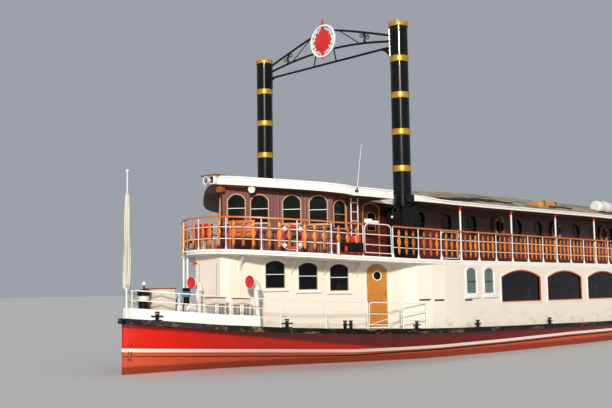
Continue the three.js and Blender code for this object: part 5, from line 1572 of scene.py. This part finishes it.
class STEAMER_OT_medallion(bpy.types.Operator):
    """A compass rose in a white ring, on the front of the truss"""
    bl_idname = "steamer.medallion"
    bl_label = "Compass rose"

    def execute(self, context):
        r = sizes().medallion
        place = on_wall((TRUSS_X + 0.095, 0, ROSE_Z), (1, 0, 0))
        field = turned([(0, -0.05), (r, -0.05), (r, 0), (0, 0)], steps=64)
        parts = [coated(placed(field, (0, -0.0005, 0), "X"), "sky")]
        for radius, tube in ((r - 0.035, 0.042), (r - 0.155, 0.018)):
            parts.append(coated(hoop(radius, tube, (0, -0.006, 0), (0, 1, 0), 72, 10), "white"))
        for outline, depth in ((star(16, 0.35, r - 0.15), 0.012), (star(8, 0.33, 0.47, 0.87, 0.72), 0.026)):
            points = board(outline, depth, 0.003)
            parts += shifted([coated(points, "enamel")], -depth)
        for i in range(8):
            angle = math.pi * (i + 0.5) / 4
            bead = turned([(0, -0.03), (0.03, -0.02), (0.036, 0), (0.03, 0.02), (0, 0.03)], steps=12)
            at = ((r - 0.10) * math.sin(angle), -0.01, (r - 0.10) * math.cos(angle))
            parts.append(coated(placed(bead, at), "enamel"))
        for z, size in ((0.66, 0.055), (-0.60, 0.04)):
            ball = turned([(size * math.sin(math.pi * i / 12), -size * math.cos(math.pi * i / 12))
                           for i in range(13)], (0, -0.014, z), 20)
            parts.append(coated(ball, "enamel"))
        boss = turned([(0, 0), (0.31, 0), (0.30, 0.03), (0.16, 0.045), (0, 0.05)], steps=40)
        parts.append(coated(placed(boss, (0, -0.02, 0), "X"), "enamel"))
        for y in (-0.35, 0.35):
            foot = block((0.05, 0.05, 0.05), (y, 0.07, on_chord(TRUSS_MIDDLE, y).z - ROSE_Z), bevel=0.004)
            parts.append(coated(foot, "black"))
        joined(parts, "compass_rose", replaces=("medallion",), place=place)
        return {"FINISHED"}


# Foredeck

FIGURES_X = 17.84


def cowl(name, x, y, turn):
    """A ventilator: trunk, bend and a flared mouth, red inside."""
    base, head = main_deck_z(x), 2.55
    facing = Vector((math.cos(turn), math.sin(turn), 0))
    bend = 0.21
    path = [Vector((x, y, base)), Vector((x, y, head - bend))]
    for i in range(1, 9):
        angle = math.pi / 2 * i / 8
        path.append(Vector((x, y, head - bend)) + facing * bend * (1 - math.cos(angle))
                    + Vector((0, 0, bend * math.sin(angle))))
    parts = [coated(tubes([path], 0.105, 6), "white")]
    bell = turned([(0.0, -0.005), (0.106, -0.005), (0.112, 0.02), (0.150, 0.07), (0.186, 0.10),
                   (0.198, 0.125), (0.192, 0.135),
                   (0.176, 0.112), (0.145, 0.085), (0.0, 0.06)], steps=32)
    liner = turned([(0, 0.070), (0.140, 0.088), (0.176, 0.115), (0.183, 0.128), (0.174, 0.121),
                    (0.138, 0.098),
                    (0, 0.082)], steps=32)
    aim = facing.to_track_quat("Z", "Y").to_matrix().to_4x4()
    mouth = Matrix.Translation(Vector((x, y, head)) + facing * (bend - 0.004)) @ aim
    for part, finish in ((bell, "white"), (liner, "enamel")):
        part.data.transform(mouth)
        parts.append(coated(part, finish))
    ring = hoop(0.115, 0.016, (x, y, head - bend - 0.02), None, 32, 8)
    foot = turned([(0, 0), (0.19, 0), (0.19, 0.015), (0.125, 0.05), (0.108, 0.10), (0, 0.10)], (x, y, base),
                  32)
    across = facing.cross(Vector((0, 0, 1)))
    grips = [tubes([[Vector((x, y, z)) + across * side * reach
                     for z, reach in ((2.02, 0.10), (2.02, 0.17), (2.16, 0.17), (2.16, 0.10))]], 0.009, 2)
             for side in (1, -1)]
    parts += all_coated([ring, foot, *grips], "white")
    joined(parts, f"cowl_{name}_dressed", replaces=(f"cowl_{name}",))


def locker(name, x, y, size_x, size_y, height, grille):
    """A wooden lid and a slatted grille on one of the deck boxes."""
    top = main_deck_z(x) + height
    rise = 0.07 if grille else 0.12
    lid = block((size_x + 0.04, size_y + 0.04, 0.03), (x, y, top + rise + 0.015), bevel=0.008)
    coaming = block((size_x - 0.02, size_y - 0.02, rise), (x, y, top + rise / 2), bevel=0.004)
    parts = [coated(lid, "board"), coated(coaming, "cream")]
    if grille:
        low, high = top - 0.52, top - 0.10
        face = x + size_x / 2
        for at, out, wide in (((face, y), (1, 0), size_y), ((x, y + size_y / 2), (0, 1), size_x)):
            back = block((0.01, wide - 0.12, high - low) if out[0] else (wide - 0.12, 0.01, high - low),
                         (*at, (low + high) / 2), bevel=0.002)
            parts.append(coated(back, "iron"))
            count = int((wide - 0.12) / 0.05)
            for i in range(count + 1):
                along = (i / count - 0.5) * (wide - 0.12)
                foot = (at[0] + out[0] * 0.008 + out[1] * along, at[1] + out[1] * 0.008 + out[0] * along)
                parts.append(coated(rod((*foot, low), (*foot, high), 0.008, 8), "white"))
    joined(parts, name + "_dressed")


class STEAMER_OT_foredeck(bpy.types.Operator):
    """Ventilators, lockers, windlass, struts and lamps in front of the house"""
    bl_idname = "steamer.foredeck"
    bl_label = "Foredeck"

    def execute(self, context):
        cowl("port", 14.44, 1.70, 0.08)
        cowl("centre", 15.14, -0.18, 0.1)
        for row in (("bow_locker", 16.79, 0.10, 0.52, 0.76, 0.82, False),
                    ("deck_box_centre", 15.42, 0.95, 0.36, 0.52, 0.72, True),
                    ("deck_box_port", 14.89, 1.50, 0.36, 0.42, 0.72, True)):
            locker(*row)
        self.windlass(16.19, 0.45)
        x = 15.05
        low, high = main_deck_z(x), upper_deck_z(x) - DECK_PLATE
        parts = [rod((x, y, low), (x, y, high), 0.035, 20) for y in (-1.06, -0.87)]
        for z in (low + 0.02, high - 0.02):
            parts.append(block((0.11, 0.30, 0.038), (x, -0.965, z), bevel=0.004))
        joined(all_coated(parts, "white"), "bow_struts_dressed",
               replaces=("bow_struts",))
        self.bollard(17.30, 0.01)
        self.lamp("bow_lamp_red", (14.955, -0.55, 3.17), (1, 0, 0), "enamel")
        self.lamp("bow_lamp_amber", (15.30, -0.62, upper_deck_z(15.3) - 0.09), (1, -0.4, 0), "gold")
        self.numbers()
        return {"FINISHED"}

    def bollard(self, x, y):
        """A stout black bollard with a white band, and a small lamp over it."""
        z = main_deck_z(x)
        shapes = [
            ("black", [(0, 0), (0.21, 0), (0.21, 0.03), (0.16, 0.06), (0.16, 0.50), (0.20, 0.53),
                       (0.20, 0.56), (0, 0.56)]),
            ("white", [(0, 0.56), (0.15, 0.56), (0.15, 0.70), (0, 0.70)]),
            ("black",
             [(0, 0.70), (0.19, 0.70), (0.20, 0.74), (0.19, 0.84), (0.12, 0.88), (0.02, 0.89), (0.02, 1.0),
                       (0, 1.0)]),
            ("white", [(0, 1.0), (0.05, 1.0), (0.06, 1.04), (0.05, 1.09), (0, 1.10)]),
        ]
        parts = [coated(turned(shape, (x, y, z), 32), finish) for finish, shape in shapes]
        joined(parts, "bow_bollard")

    def lamp(self, name, at, out, finish):
        """A small lamp: a bracket on the wall and a round lens."""
        aim = Vector(out).normalized()
        parts = [coated(rod(Vector(at) - aim * 0.05, Vector(at) + aim * 0.06, 0.022, 12), "iron")]
        lens = turned([(0, -0.055), (0.045, -0.05), (0.05, 0), (0.045, 0.05), (0, 0.055)],
                      Vector(at) + aim * 0.09, 20)
        parts.append(coated(lens, finish))
        joined(parts, name)

    def windlass(self, x, y):
        """Drum and gear between two cheeks, a rope round its post, and a padded case."""
        z = main_deck_z(x)
        parts = [coated(block((0.42, 0.70, 0.09), (x, y, z + 0.045), bevel=0.01), "black")]
        cheek = both_halves([(0.13, 0), (0.13, 0.30), (0.09, 0.50), (0.05, 0.56)])
        for dy in (-0.22, 0.22):
            plate = placed(board(cheek, 0.05, 0.008), (x, y + dy - 0.025, z))
            parts.append(coated(plate, "white" if dy < 0 else "black"))
        drum = turned(both_ends([
            (0, -0.42), (0.13, -0.42), (0.135, -0.40), (0.095, -0.36), (0.085, -0.30), (0.12, -0.26),
            (0.12, -0.25), (0.08, -0.245), (0.08, -0.19), (0.15, -0.185), (0.15, -0.165), (0.10, -0.16),
        ]), steps=32)
        parts.append(coated(placed(drum, (x, y, z + 0.43), "X"), "white"))
        gear = placed(board(star(28, 0.155, 0.185), 0.03, 0.003), (x, y + 0.13, z + 0.43))
        parts.append(coated(gear, "iron"))
        post = turned([(0, 0.45), (0.12, 0.45), (0.11, 0.50), (0.095, 0.60), (0.095, 0.93), (0.12, 0.97),
                       (0.125, 1.01), (0.10, 1.03), (0, 1.04)], (x, y + 0.10, z), 24)
        parts.append(coated(post, "black"))
        for i in range(5):
            wrap = hoop(0.11, 0.016, (x, y + 0.10, z + 0.79 + 0.031 * i), (0.08 * (i % 2), 0.05, 1), 32, 8)
            parts.append(coated(wrap, "rope"))
        tail = [Vector((x + dx, y + dy, z + dz)) for dx, dy, dz in (
            (0.05, 0, 0.86), (0.09, -0.10, 0.84), (0.10, -0.22, 0.72), (0.08, -0.29, 0.60),
            (0.02, -0.31, 0.56))]
        case = block((0.28, 0.34, 0.44), (x + 0.03, y - 0.30, z + 0.33), bevel=0.07, segments=4)
        parts.append(coated(case, "white"))
        parts.append(coated(tubes([tail], 0.016, 2), "rope"))
        lever = tubes([[(x - 0.10, y - 0.27, z + 0.43), (x - 0.16, y - 0.30, z + 0.80)]], 0.014, 2)
        parts.append(coated(lever, "black"))
        joined(parts, "windlass_dressed", replaces=("windlass",))

    def numbers(self):
        """Plain draught figures on both sides of the stem."""
        parts = []
        for count, z in enumerate((0.765, 0.548, 0.370, 0.160)):
            clear()
            bpy.ops.object.text_add()
            figure = bpy.context.object
            figure.data.body = str(14 - 2 * count)
            figure.data.size = 0.15
            figure.data.extrude = 0.002
            figure.data.offset = 0.005
            figure.data.align_x = "CENTER"
            bpy.ops.object.convert(target="MESH")
            figure = bpy.context.object
            places = []
            for side in SIDES.values():
                x = FIGURES_X
                half = hull_half(x, z)
                slope = (hull_half(x + 0.08, z) - hull_half(x - 0.08, z)) / 0.16
                flare = (hull_half(x, z + 0.1) - hull_half(x, z)) / 0.1
                normal = Vector((-slope, 1, -flare)).normalized()
                up = (Vector((0, 0, 1)) - normal * normal.z).normalized()
                right = up.cross(normal)
                turn = Matrix((right, up, normal)).transposed().to_4x4()
                place = Matrix.Translation(Vector((x, half, z)) + normal * 0.001) @ turn
                if side < 0:
                    place = MIRROR @ place @ Matrix.Diagonal((-1, 1, 1, 1))
                places.append(place)
            parts += repeated(figure, places)
        joined(all_coated(parts, "iron"), "draught_figures")


def hull_half(x, z):
    """Half breadth of the topsides at a height."""
    deck, water, top = smoothed(1, x), smoothed(2, x), main_deck_z(x)
    knee = water + (deck - water) * 0.42
    if z > top / 2:
        return knee + (deck - knee) * (z - top / 2) / (top / 2)
    return water + (knee - water) * max(0.0, z) / (top / 2)


class STEAMER_OT_flag(bpy.types.Operator):
    """The staff at the stem and the flag that hangs limp round it"""
    bl_idname = "steamer.flag"
    bl_label = "Staff and flag"

    def execute(self, context):
        x, top = 17.88, 5.75
        base = main_deck_z(x)
        staff = turned([(0, base), (0.05, base), (0.05, base + 0.03), (0.034, base + 0.08),
                        (0.028, base + 0.5),
                        (0.022, top - 0.05), (0.03, top - 0.03), (0.058, top), (0.05, top + 0.035),
                        (0, top + 0.06)],
                       (x, 0, 0), 24)
        joined([coated(staff, "white")], "jackstaff_dressed", replaces=("jackstaff",))
        rows, columns, folds = 60, 240, 9
        low, high = 2.45, 5.10
        clear()
        bpy.ops.mesh.primitive_grid_add(x_subdivisions=columns, y_subdivisions=rows)
        cloth = context.object
        chance = random.Random(4)
        lean = [chance.uniform(-0.25, 0.25) for _ in range(folds + 1)]
        for vertex in cloth.data.vertices:
            across, up = vertex.co.x / 2 + 0.5, vertex.co.y / 2 + 0.5
            reach = 0.048 + 0.075 * (1 - up) ** 0.55
            angle = 2 * math.pi * across * 0.94 + 0.5 * math.sin(3.1 * up)
            fold = folds * across
            near = lean[int(fold) % (folds + 1)]
            pleat = 0.5 + 0.5 * math.cos(2 * math.pi * fold)
            radius = 0.034 + (reach - 0.034) * pleat * (0.82 + 0.18 * math.sin(9 * up + 5 * near))
            angle += near * 0.35 * pleat + 0.10 * math.sin(7 * up + fold)
            sag = 0.02 * math.sin(5 * angle) * (1 - up)
            hem = (0.05 * math.cos(2 * math.pi * fold) - 0.04 * across) * (1 - up)
            z = low + (high - low) * up + sag + hem
            vertex.co = (x + radius * math.cos(angle), radius * math.sin(angle), z)
        cloth = joined([coated(cloth, "cloth")], "flag_dressed", smooth=80,
                       replaces=("furled_flag",))
        return {"FINISHED"}


# Upper works

def lifebuoy(grow=1.0, ring="buoy", band="white"):
    r = sizes().lifebuoy * grow
    parts = [coated(hoop(r - 0.075, 0.058, (0, 0, 0), (0, 1, 0), 48, 12), ring)]
    for i in range(4):
        start = math.pi / 4 + math.pi / 2 * i
        arc = [Vector(((r - 0.075) * math.cos(a), 0, (r - 0.075) * math.sin(a)))
               for a in spread(start - 0.16, start + 0.16, 7)]
        parts.append(coated(tubes([arc], 0.062, 4), band))
    for i in range(4):
        start = math.pi / 4 + math.pi / 2 * i
        loop = []
        for a in spread(start, start + math.pi / 2, 9):
            reach = r + 0.002 - 0.02 * abs(math.sin(2 * (a - start)))
            loop.append(Vector((reach * math.cos(a), -0.03, reach * math.sin(a))))
        parts.append(coated(tubes([loop], 0.008, 2), band))
    return merged(parts)


def bench(name, places):
    """Slatted benches, one at each (place, direction of its back): seat, back and legs."""
    parts = []
    for at, out in places:
        turn = on_wall(at, -out)
        pieces = []
        for i in range(4):
            pieces.append(block((0.80, 0.022, 0.105), (0, 0.20 - 0.012 * i, 0.47 + 0.125 * i), bevel=0.006))
        for i in range(4):
            pieces.append(block((0.80, 0.085, 0.022), (0, -0.17 + 0.10 * i, 0.40), bevel=0.006))
        for end in (-0.34, 0.34):
            pieces.append(block((0.035, 0.40, 0.04), (end, 0.0, 0.37), bevel=0.005))
            pieces.append(block((0.035, 0.035, 0.37), (end, -0.16, 0.185), bevel=0.005))
            pieces.append(block((0.035, 0.035, 0.84), (end, 0.215, 0.42), bevel=0.005))
        for piece in pieces:
            piece.data.transform(turn)
        parts += pieces
    joined(all_coated(parts, "bench"), name)


class STEAMER_OT_upper_works(bpy.types.Operator):
    """Lifebuoys, benches, side lamps, ladder, aerial and searchlight"""
    bl_idname = "steamer.upper_works"
    bl_label = "Upper works"

    def execute(self, context):
        places = [side_wall(x, SALOON_HALF + 0.066, 4.62) for x in (2.88, -1.5, -5.8, -9.0)]
        # The saloon's lifebuoys take the painted-shade copies of the lifebuoy paints
        ring = lifebuoy(1.08, "dim_buoy", "dim_white")
        joined(repeated(ring, mirrored_too(places)), "saloon_lifebuoys")
        rail = fore_rail()
        pitch = total(rail) / round(total(rail) / BAY)
        at, out = at_run(rail, 2.12 * pitch)
        joined([lifebuoy(1.1)], "rail_lifebuoy",
               place=on_wall(at - out * 0.09 + Vector((0, 0, 0.45)), out))
        x = 14.62
        bench("bow_benches", [(Vector((x, side * 1.28, upper_deck_z(x))), Vector((0.81, side * 0.58, 0)))
                              for side in SIDES.values()])
        chest = block((0.22, 0.62, 0.52), (14.90, -0.24, upper_deck_z(14.96) + 0.59), bevel=0.02)
        feet = [block((0.05, 0.05, 0.36), (14.90, -0.24 + side * 0.26, upper_deck_z(14.96) + 0.18),
                      bevel=0.004)
                for side in SIDES.values()]
        joined(all_coated([chest, *feet], "enamel"), "bow_chest")
        self.side_lamps()
        self.ladder()
        self.searchlight()
        self.tube_frames()
        return {"FINISHED"}

    def side_lamps(self):
        """A screen with a coloured lamp on each side, outside the rail by the gate."""
        for name, side in SIDES.items():
            ends = rail_path((12.40, 11.73), side)
            along = (ends[1] - ends[0]).normalized()
            out = Vector((-along.y, along.x, 0)) * -side
            middle = (ends[0] + ends[1]) / 2 + out * 0.10 - Vector((0, 0, 0.10))
            wide = (ends[1] - ends[0]).length + 0.12
            parts = [block((wide, 0.02, 0.27), (0, 0.03, 0.335), bevel=0.004),
                     block((wide, 0.16, 0.02), (0, -0.04, 0.20), bevel=0.004),
                     block((0.02, 0.16, 0.27), (-wide / 2 * side, -0.04, 0.335), bevel=0.004)]
            parts += [rod((dx, 0.03, 0.33), (dx, 0.12, 0.33), 0.012, 8) for dx in (-0.25, 0.25)]
            all_coated(parts, "black")
            for finish, bevel, size, at in (
                    ("enamel", 0.004, (wide, 0.03, 0.03), (0, -0.04, 0.165)),
                    ("white", 0.006, (0.05, 0.10, 0.36), (-(wide / 2 + 0.04) * side, 0, 0.30)),
                    ("enamel", 0.01, (0.34, 0.16, 0.20), (0.22 * side, 0.20, 0.60))):
                parts.append(coated(block(size, at, bevel=bevel), finish))
            lamp = turned([(0, 0.212), (0.055, 0.212), (0.055, 0.24), (0.045, 0.25), (0.045, 0.33),
                           (0.055, 0.34), (0.03, 0.37),
                           (0, 0.375)], (-0.22 * side, -0.05, 0), 20)
            parts.append(coated(lamp, "enamel" if side > 0 else "pale_glass"))
            joined(parts, f"side_lamp_{name}", place=on_wall(middle, out))
        disc = turned([(0, 0), (0.108, 0), (0.112, 0.02), (0.095, 0.07), (0.05, 0.10), (0, 0.105)], steps=32)
        aim = Vector((PROW_OUT.x, PROW_OUT.y, -0.15)).to_track_quat("Z", "Y").to_matrix().to_4x4()
        centre = PROW_APEX + PROW * 1.0 + PROW_OUT * 0.42
        centre.z = 5.40
        disc.data.transform(Matrix.Translation(centre) @ aim @ Matrix.Rotation(math.pi, 4, "X"))
        arm = tubes([[centre - PROW_OUT * 0.10, PROW_APEX + PROW * 1.0 + Vector((0, 0, 5.46))]], 0.016, 2)
        joined([coated(disc, "white"), coated(arm, "varnish")], "prow_lamp")
        light = turned([(0, 0), (0.04, 0), (0.045, 0.03), (0.03, 0.05), (0, 0.06)], steps=20)
        ring = hoop(0.11, 0.014)
        joined([coated(placed(light, (FUNNEL_X + 0.44, 3.213, 4.61), "Y"), "plastic"),
                coated(placed(ring, (FUNNEL_X + 0.45, 3.344, 4.81), "Y"), "iron")],
               "casing_lamp")

    def ladder(self):
        """The ladder to the roof, and the aerial on the roof's edge ahead of it."""
        x, y = 11.45, 2.96
        low, high = upper_deck_z(x), roof_z(x) - 0.002
        parts = [rod((x + d, y, low), (x + d, y, high), 0.019, 16) for d in (-0.16, 0.16)]
        lift = 0.25
        while lift < 1.8:
            parts.append(rod((x - 0.16, y, low + lift), (x + 0.16, y, low + lift), 0.014, 12))
            lift += 0.29
        joined(all_coated(parts, "white"), "roof_ladder_dressed",
               replaces=("roof_ladder",))
        base = Vector((11.92, roof_half(11.92) + 0.03, roof_z(11.92) + 0.13))
        parts = [coated(block((0.10, 0.08, 0.06), base, bevel=0.01), "iron"),
                 coated(tubes([[base, base + Vector((-0.03, 0, 0.13))]], 0.020, 3), "iron"),
                 coated(tubes([[base + Vector((-0.03, 0, 0.12)), base + Vector((-0.26, 0, 1.50))]], 0.011, 3,
                              radii=[1, 0.5]), "white")]
        joined(parts, "aerial")

    def searchlight(self):
        """The searchlight on the roof's nose, with the lantern and its lid beside it."""
        x, y, z, r = 14.74, -0.04, 5.715, 0.12
        drum = turned([(0, 0), (0.07, 0), (0.105, 0.02), (r, 0.05), (r, 0.17), (r + 0.012, 0.175),
                       (r + 0.012, 0.20),
                       (r - 0.006, 0.20), (r - 0.012, 0.185), (0, 0.175)], steps=32)
        placed(drum, (x + 0.05, y, z), "Y")
        yoke = tubes([[Vector((x + 0.15, y + side * 0.14, z + 0.02)),
                       Vector((x + 0.12, y + side * 0.14, z - 0.12)),
                       Vector((x + 0.06, y + side * 0.03, z - 0.10))] for side in (1, -1)], 0.012, 2)
        foot = block((0.06, 0.08, 0.08), (x + 0.03, y + 0.02, z), bevel=0.006)
        parts = all_coated([drum, yoke, foot], "white")
        glass = turned([(0, 0), (r - 0.014, 0), (r - 0.03, 0.012), (0, 0.02)], steps=32)
        parts.append(coated(placed(glass, (x + 0.232, y, z), "Y"), "pale_glass"))
        joined(parts, "searchlight_dressed", replaces=("searchlight",))
        lid = block((0.44, 0.72, 0.03), (14.72, -0.02, 5.885), bevel=0.006)
        corbel = block((0.22, 0.22, 0.20), (14.50, 0.10, roof_z(14.5) - 0.10), bevel=0.02)
        parts = all_coated([lid, corbel], "board")
        parts.append(coated(block((0.13, 0.32, 0.27), (14.815, 0.08, 5.735), bevel=0.01), "white"))
        parts.append(coated(block((0.01, 0.22, 0.20), (14.883, 0.08, 5.735), bevel=0.002), "glass"))
        joined(parts, "roof_nose_lantern")

    def tube_frames(self):
        """A rounded tube frame just inboard of the balusters, in the bay aft of each funnel."""
        low, high, corner = 0.06, 0.93, 0.14
        parts = []
        corners = [(8.36 - corner, high - corner, 0), (7.38 + corner, high - corner, 1),
                   (7.38 + corner, low + corner, 2),
                   (8.36 - corner, low + corner, 3)]
        for side in SIDES.values():
            loop = []
            for cx, cz, quarter in corners:
                for i in range(6):
                    angle = math.pi / 2 * (quarter + i / 5)
                    loop.append(Vector((cx + corner * math.cos(angle), 0, cz + corner * math.sin(angle))))
            loop = [Vector((p.x, side * (deck_half(p.x) - RAIL_INSET - 0.045), upper_deck_z(p.x) + p.z))
                    for p in loop]
            parts.append(coated(tubes([loop], 0.016, 3, cyclic=True), "white"))
            for x in (7.40, 8.34):
                z = upper_deck_z(x) + MID_RAILS[1]
                outer = deck_half(x) - RAIL_INSET
                parts.append(coated(rod((x, side * (outer - 0.045), z), (x, side * outer, z), 0.012, 8),
                                    "white"))
        joined(parts, "bay_tube_frames")


class STEAMER_OT_roof(bpy.types.Operator):
    """Rafts and pipes on the roof"""
    bl_idname = "steamer.roof"
    bl_label = "Roof gear"

    def execute(self, context):
        x, y = 0.4, 3.3
        base = roof_z(x) + fascia(x)
        raft = block((1.4, 0.64, 0.40), (x, y, base + 0.23), bevel=0.09, segments=4)
        parts = [coated(raft, "raft")]
        for dx in (-0.45, 0.45):
            strap = border(rectangle(0.33, 0.21), 0.02, 0.05, 0.004)
            parts.append(coated(placed(strap, (x + dx, y, base + 0.23), "Z"), "iron"))
        joined(parts, "raft_box_dressed", replaces=("raft_box",))
        x = -4.8
        base = roof_z(x) + fascia(x)
        drum = turned(both_ends([(0, -0.75), (0.20, -0.75), (0.26, -0.70), (0.28, -0.62), (0.28, -0.02),
                                 (0.295, -0.02)]), steps=40)
        parts = [coated(placed(drum, (x, y, base + 0.475), "Y"), "plastic")]
        for dx in (-0.4, 0.4):
            cradle = block((0.06, 0.56, 0.32), (x + dx, y, base + 0.18), bevel=0.01)
            parts.append(coated(cradle, "buoy"))
            strap = hoop(0.284, 0.008, (x + dx, y, base + 0.475), (1, 0, 0), 40, 6)
            parts.append(coated(strap, "iron"))
        joined(parts, "raft_canister_dressed", replaces=("raft_canister",))
        parts = []
        for start, end, y in ((8.2, 3.4, 3.75), (7.9, 4.4, 3.62), (0.6, -1.2, 3.7), (-3.6, -9.0, 3.72)):
            path = []
            for x in spread(start, end, 19):
                sway = y + 0.04 * math.sin(5.3 * x)
                path.append(Vector((x, sway, roof_top(x, sway) + 0.028)))
            parts.append(coated(tubes([path, [Vector((p.x, -p.y, p.z)) for p in path]], 0.030, 3), "iron"))
        joined(parts, "roof_pipes")
        return {"FINISHED"}


def roof_top(x, y):
    """Height of the roof's upper surface."""
    rows = [(0.0, 1.0), (0.2, 0.97), (0.5, 0.8), (0.8, 0.4), (1.0, 0.0)]
    share = tabled(rows, abs(y) / roof_half(x))
    return roof_z(x) + fascia(x) + tabled(ROOF_CAMBER, x) * (roof_half(x) / 4.2) ** 2 * share


# Wheel

WHEEL_X, WHEEL_Z, WHEEL_ARMS = -15.6, 1.35, 10


class STEAMER_OT_wheel(bpy.types.Operator):
    """The stern wheel: shaft, hubs, arms, hoops and planked floats"""
    bl_idname = "steamer.wheel"
    bl_label = "Stern wheel"

    def execute(self, context):
        parts = [coated(rod((0, -3.08, 0), (0, 3.08, 0), 0.13, 48, 0.01), "iron")]
        for y in (-2.3, 0.0, 2.3):
            hub = turned(both_ends([(0, -0.09), (0.19, -0.09), (0.20, -0.08), (0.20, -0.045),
                                    (0.34, -0.035)]),
                         steps=40)
            parts.append(coated(placed(hub, (0, y, 0), "X"), "iron"))
            band = turned(both_ends([(1.21, -0.025), (1.28, -0.025)]), steps=60)
            parts.append(coated(placed(band, (0, y, 0), "X"), "wheel"))
            for i in range(WHEEL_ARMS):
                turn = Matrix.Rotation(2 * math.pi * i / WHEEL_ARMS, 4, "Y")
                arm = block((1.55, 0.06, 0.09), (0.925, y, 0), bevel=0.008)
                bolts = [rod((bx, y - 0.05, bz), (bx, y + 0.05, bz), 0.014, 8) for bx in (0.23, 0.30)
                         for bz in (-0.022, 0.022)]
                grip = block((0.50, 0.085, 0.012), (1.59, y, 0.051), bevel=0.002, segments=1)
                for part, finish in [(arm, "wheel"), (grip, "iron")] + [(bolt, "iron") for bolt in bolts]:
                    part.data.transform(turn)
                    parts.append(coated(part, finish))
        for i in range(WHEEL_ARMS):
            turn = Matrix.Rotation(2 * math.pi * i / WHEEL_ARMS, 4, "Y")
            for x in (1.462, 1.722):
                plank = block((0.252, 4.9, 0.045), (x, 0, -0.02), bevel=0.006)
                plank.data.transform(turn)
                parts.append(coated(plank, "wheel"))
        joined(parts, "wheel_dressed", "wheel", replaces=("paddle_wheel",),
               place=Matrix.Translation((WHEEL_X, 0, WHEEL_Z)))
        return {"FINISHED"}


class STEAMER_OT_hull(bpy.types.Operator):
    """The hull with its fine lines, and the rudders' lugs"""
    bl_idname = "steamer.hull"
    bl_label = "Hull"

    def execute(self, context):
        xs = spread(-13.3, 9.0, 46) + spread(9.3, 17.4, 34) + [17.5, 17.6, 17.7, 17.8, 17.9, 18.0]
        outline = [(1.0, 0.0), (0.997, 0.15), (0.985, 0.35), (0.955, 0.55), (0.91, 0.72), (0.83, 0.85),
                   (0.70, 0.93),
                   (0.45, 0.99), (0.2, 1.0)]
        keel_half = 0.03
        rows = []
        for x in xs:
            deck, water, keel, top = smoothed(1, x), smoothed(2, x), smoothed(3, x), main_deck_z(x)
            half = [(deck, top)]
            for share in (0.75, 0.5, 0.25):
                half.append((hull_half(x, top * share), top * share))
            half += [(max(keel_half, water * breadth), keel * depth) for breadth, depth in outline]
            half.append((keel_half, keel))
            rows.append([(0.0, top), *half, *[(-y, z) for y, z in reversed(half)], (0.0, top)])
        clear()
        bpy.ops.mesh.primitive_grid_add(x_subdivisions=len(rows[0]) - 1, y_subdivisions=len(rows) - 1)
        hull = context.object
        wide = len(rows[0])
        for vertex in hull.data.vertices:
            # The new grid spans -1 to 1 both ways
            column = round((vertex.co.x + 1) / 2 * (wide - 1))
            row = round((vertex.co.y + 1) / 2 * (len(rows) - 1))
            y, z = rows[row][column]
            vertex.co = (xs[row], y, z)
        pick(hull)
        bpy.ops.object.mode_set(mode="EDIT")
        bpy.ops.mesh.select_all(action="SELECT")
        bpy.ops.mesh.remove_doubles(threshold=1e-4)
        bpy.ops.mesh.fill_holes(sides=0)
        parts = [coated(closed(hull), "hull")]
        for side in SIDES.values():
            for z in (0.12, 0.56):
                eye = turned([(0.068, 0), (0.13, 0), (0.13, 0.09), (0.068, 0.09)], (-13.48, side * 1.5, z),
                             32)
                arm = block((0.13, 0.20, 0.085), (-13.32, side * 1.5, z + 0.045), bevel=0.006)
                parts += all_coated([eye, arm], "hull")
        joined(parts, "hull_dressed", replaces=("hull",), smooth=32)
        return {"FINISHED"}


class STEAMER_PT_panel(bpy.types.Panel):
    """Sidebar list of the ship's pieces"""
    bl_label = "Paddle steamer"
    bl_idname = "STEAMER_PT_panel"
    bl_space_type = "VIEW_3D"
    bl_region_type = "UI"
    bl_category = "Steamer"

    def draw(self, context):
        for operator in OPERATORS:
            self.layout.operator(operator.bl_idname)
        for group in (context.scene.steamer_sizes, context.scene.steamer_colours):
            for name in group.bl_rna.properties.keys():
                if name not in ("rna_type", "name"):
                    self.layout.prop(group, name)


OPERATORS = [
    STEAMER_OT_stage, STEAMER_OT_paint, STEAMER_OT_hull, STEAMER_OT_upper_rails, STEAMER_OT_deck_rails,
    STEAMER_OT_windows, STEAMER_OT_doors, STEAMER_OT_fittings, STEAMER_OT_funnels, STEAMER_OT_truss,
    STEAMER_OT_medallion, STEAMER_OT_foredeck, STEAMER_OT_flag, STEAMER_OT_upper_works, STEAMER_OT_roof,
    STEAMER_OT_wheel,
]
CLASSES = [SteamerColours, SteamerSizes, *OPERATORS, STEAMER_PT_panel]


def register():
    for made in CLASSES:
        bpy.utils.register_class(made)
    bpy.types.Scene.steamer_colours = PointerProperty(type=SteamerColours)
    bpy.types.Scene.steamer_sizes = PointerProperty(type=SteamerSizes)


def unregister():
    del bpy.types.Scene.steamer_sizes
    del bpy.types.Scene.steamer_colours
    for made in reversed(CLASSES):
        bpy.utils.unregister_class(made)


def main():
    """Builds the whole ship."""
    register()
    for operator in OPERATORS:
        group, name = operator.bl_idname.split(".")
        getattr(getattr(bpy.ops, group), name)()


if __name__ == "__main__":
    main()
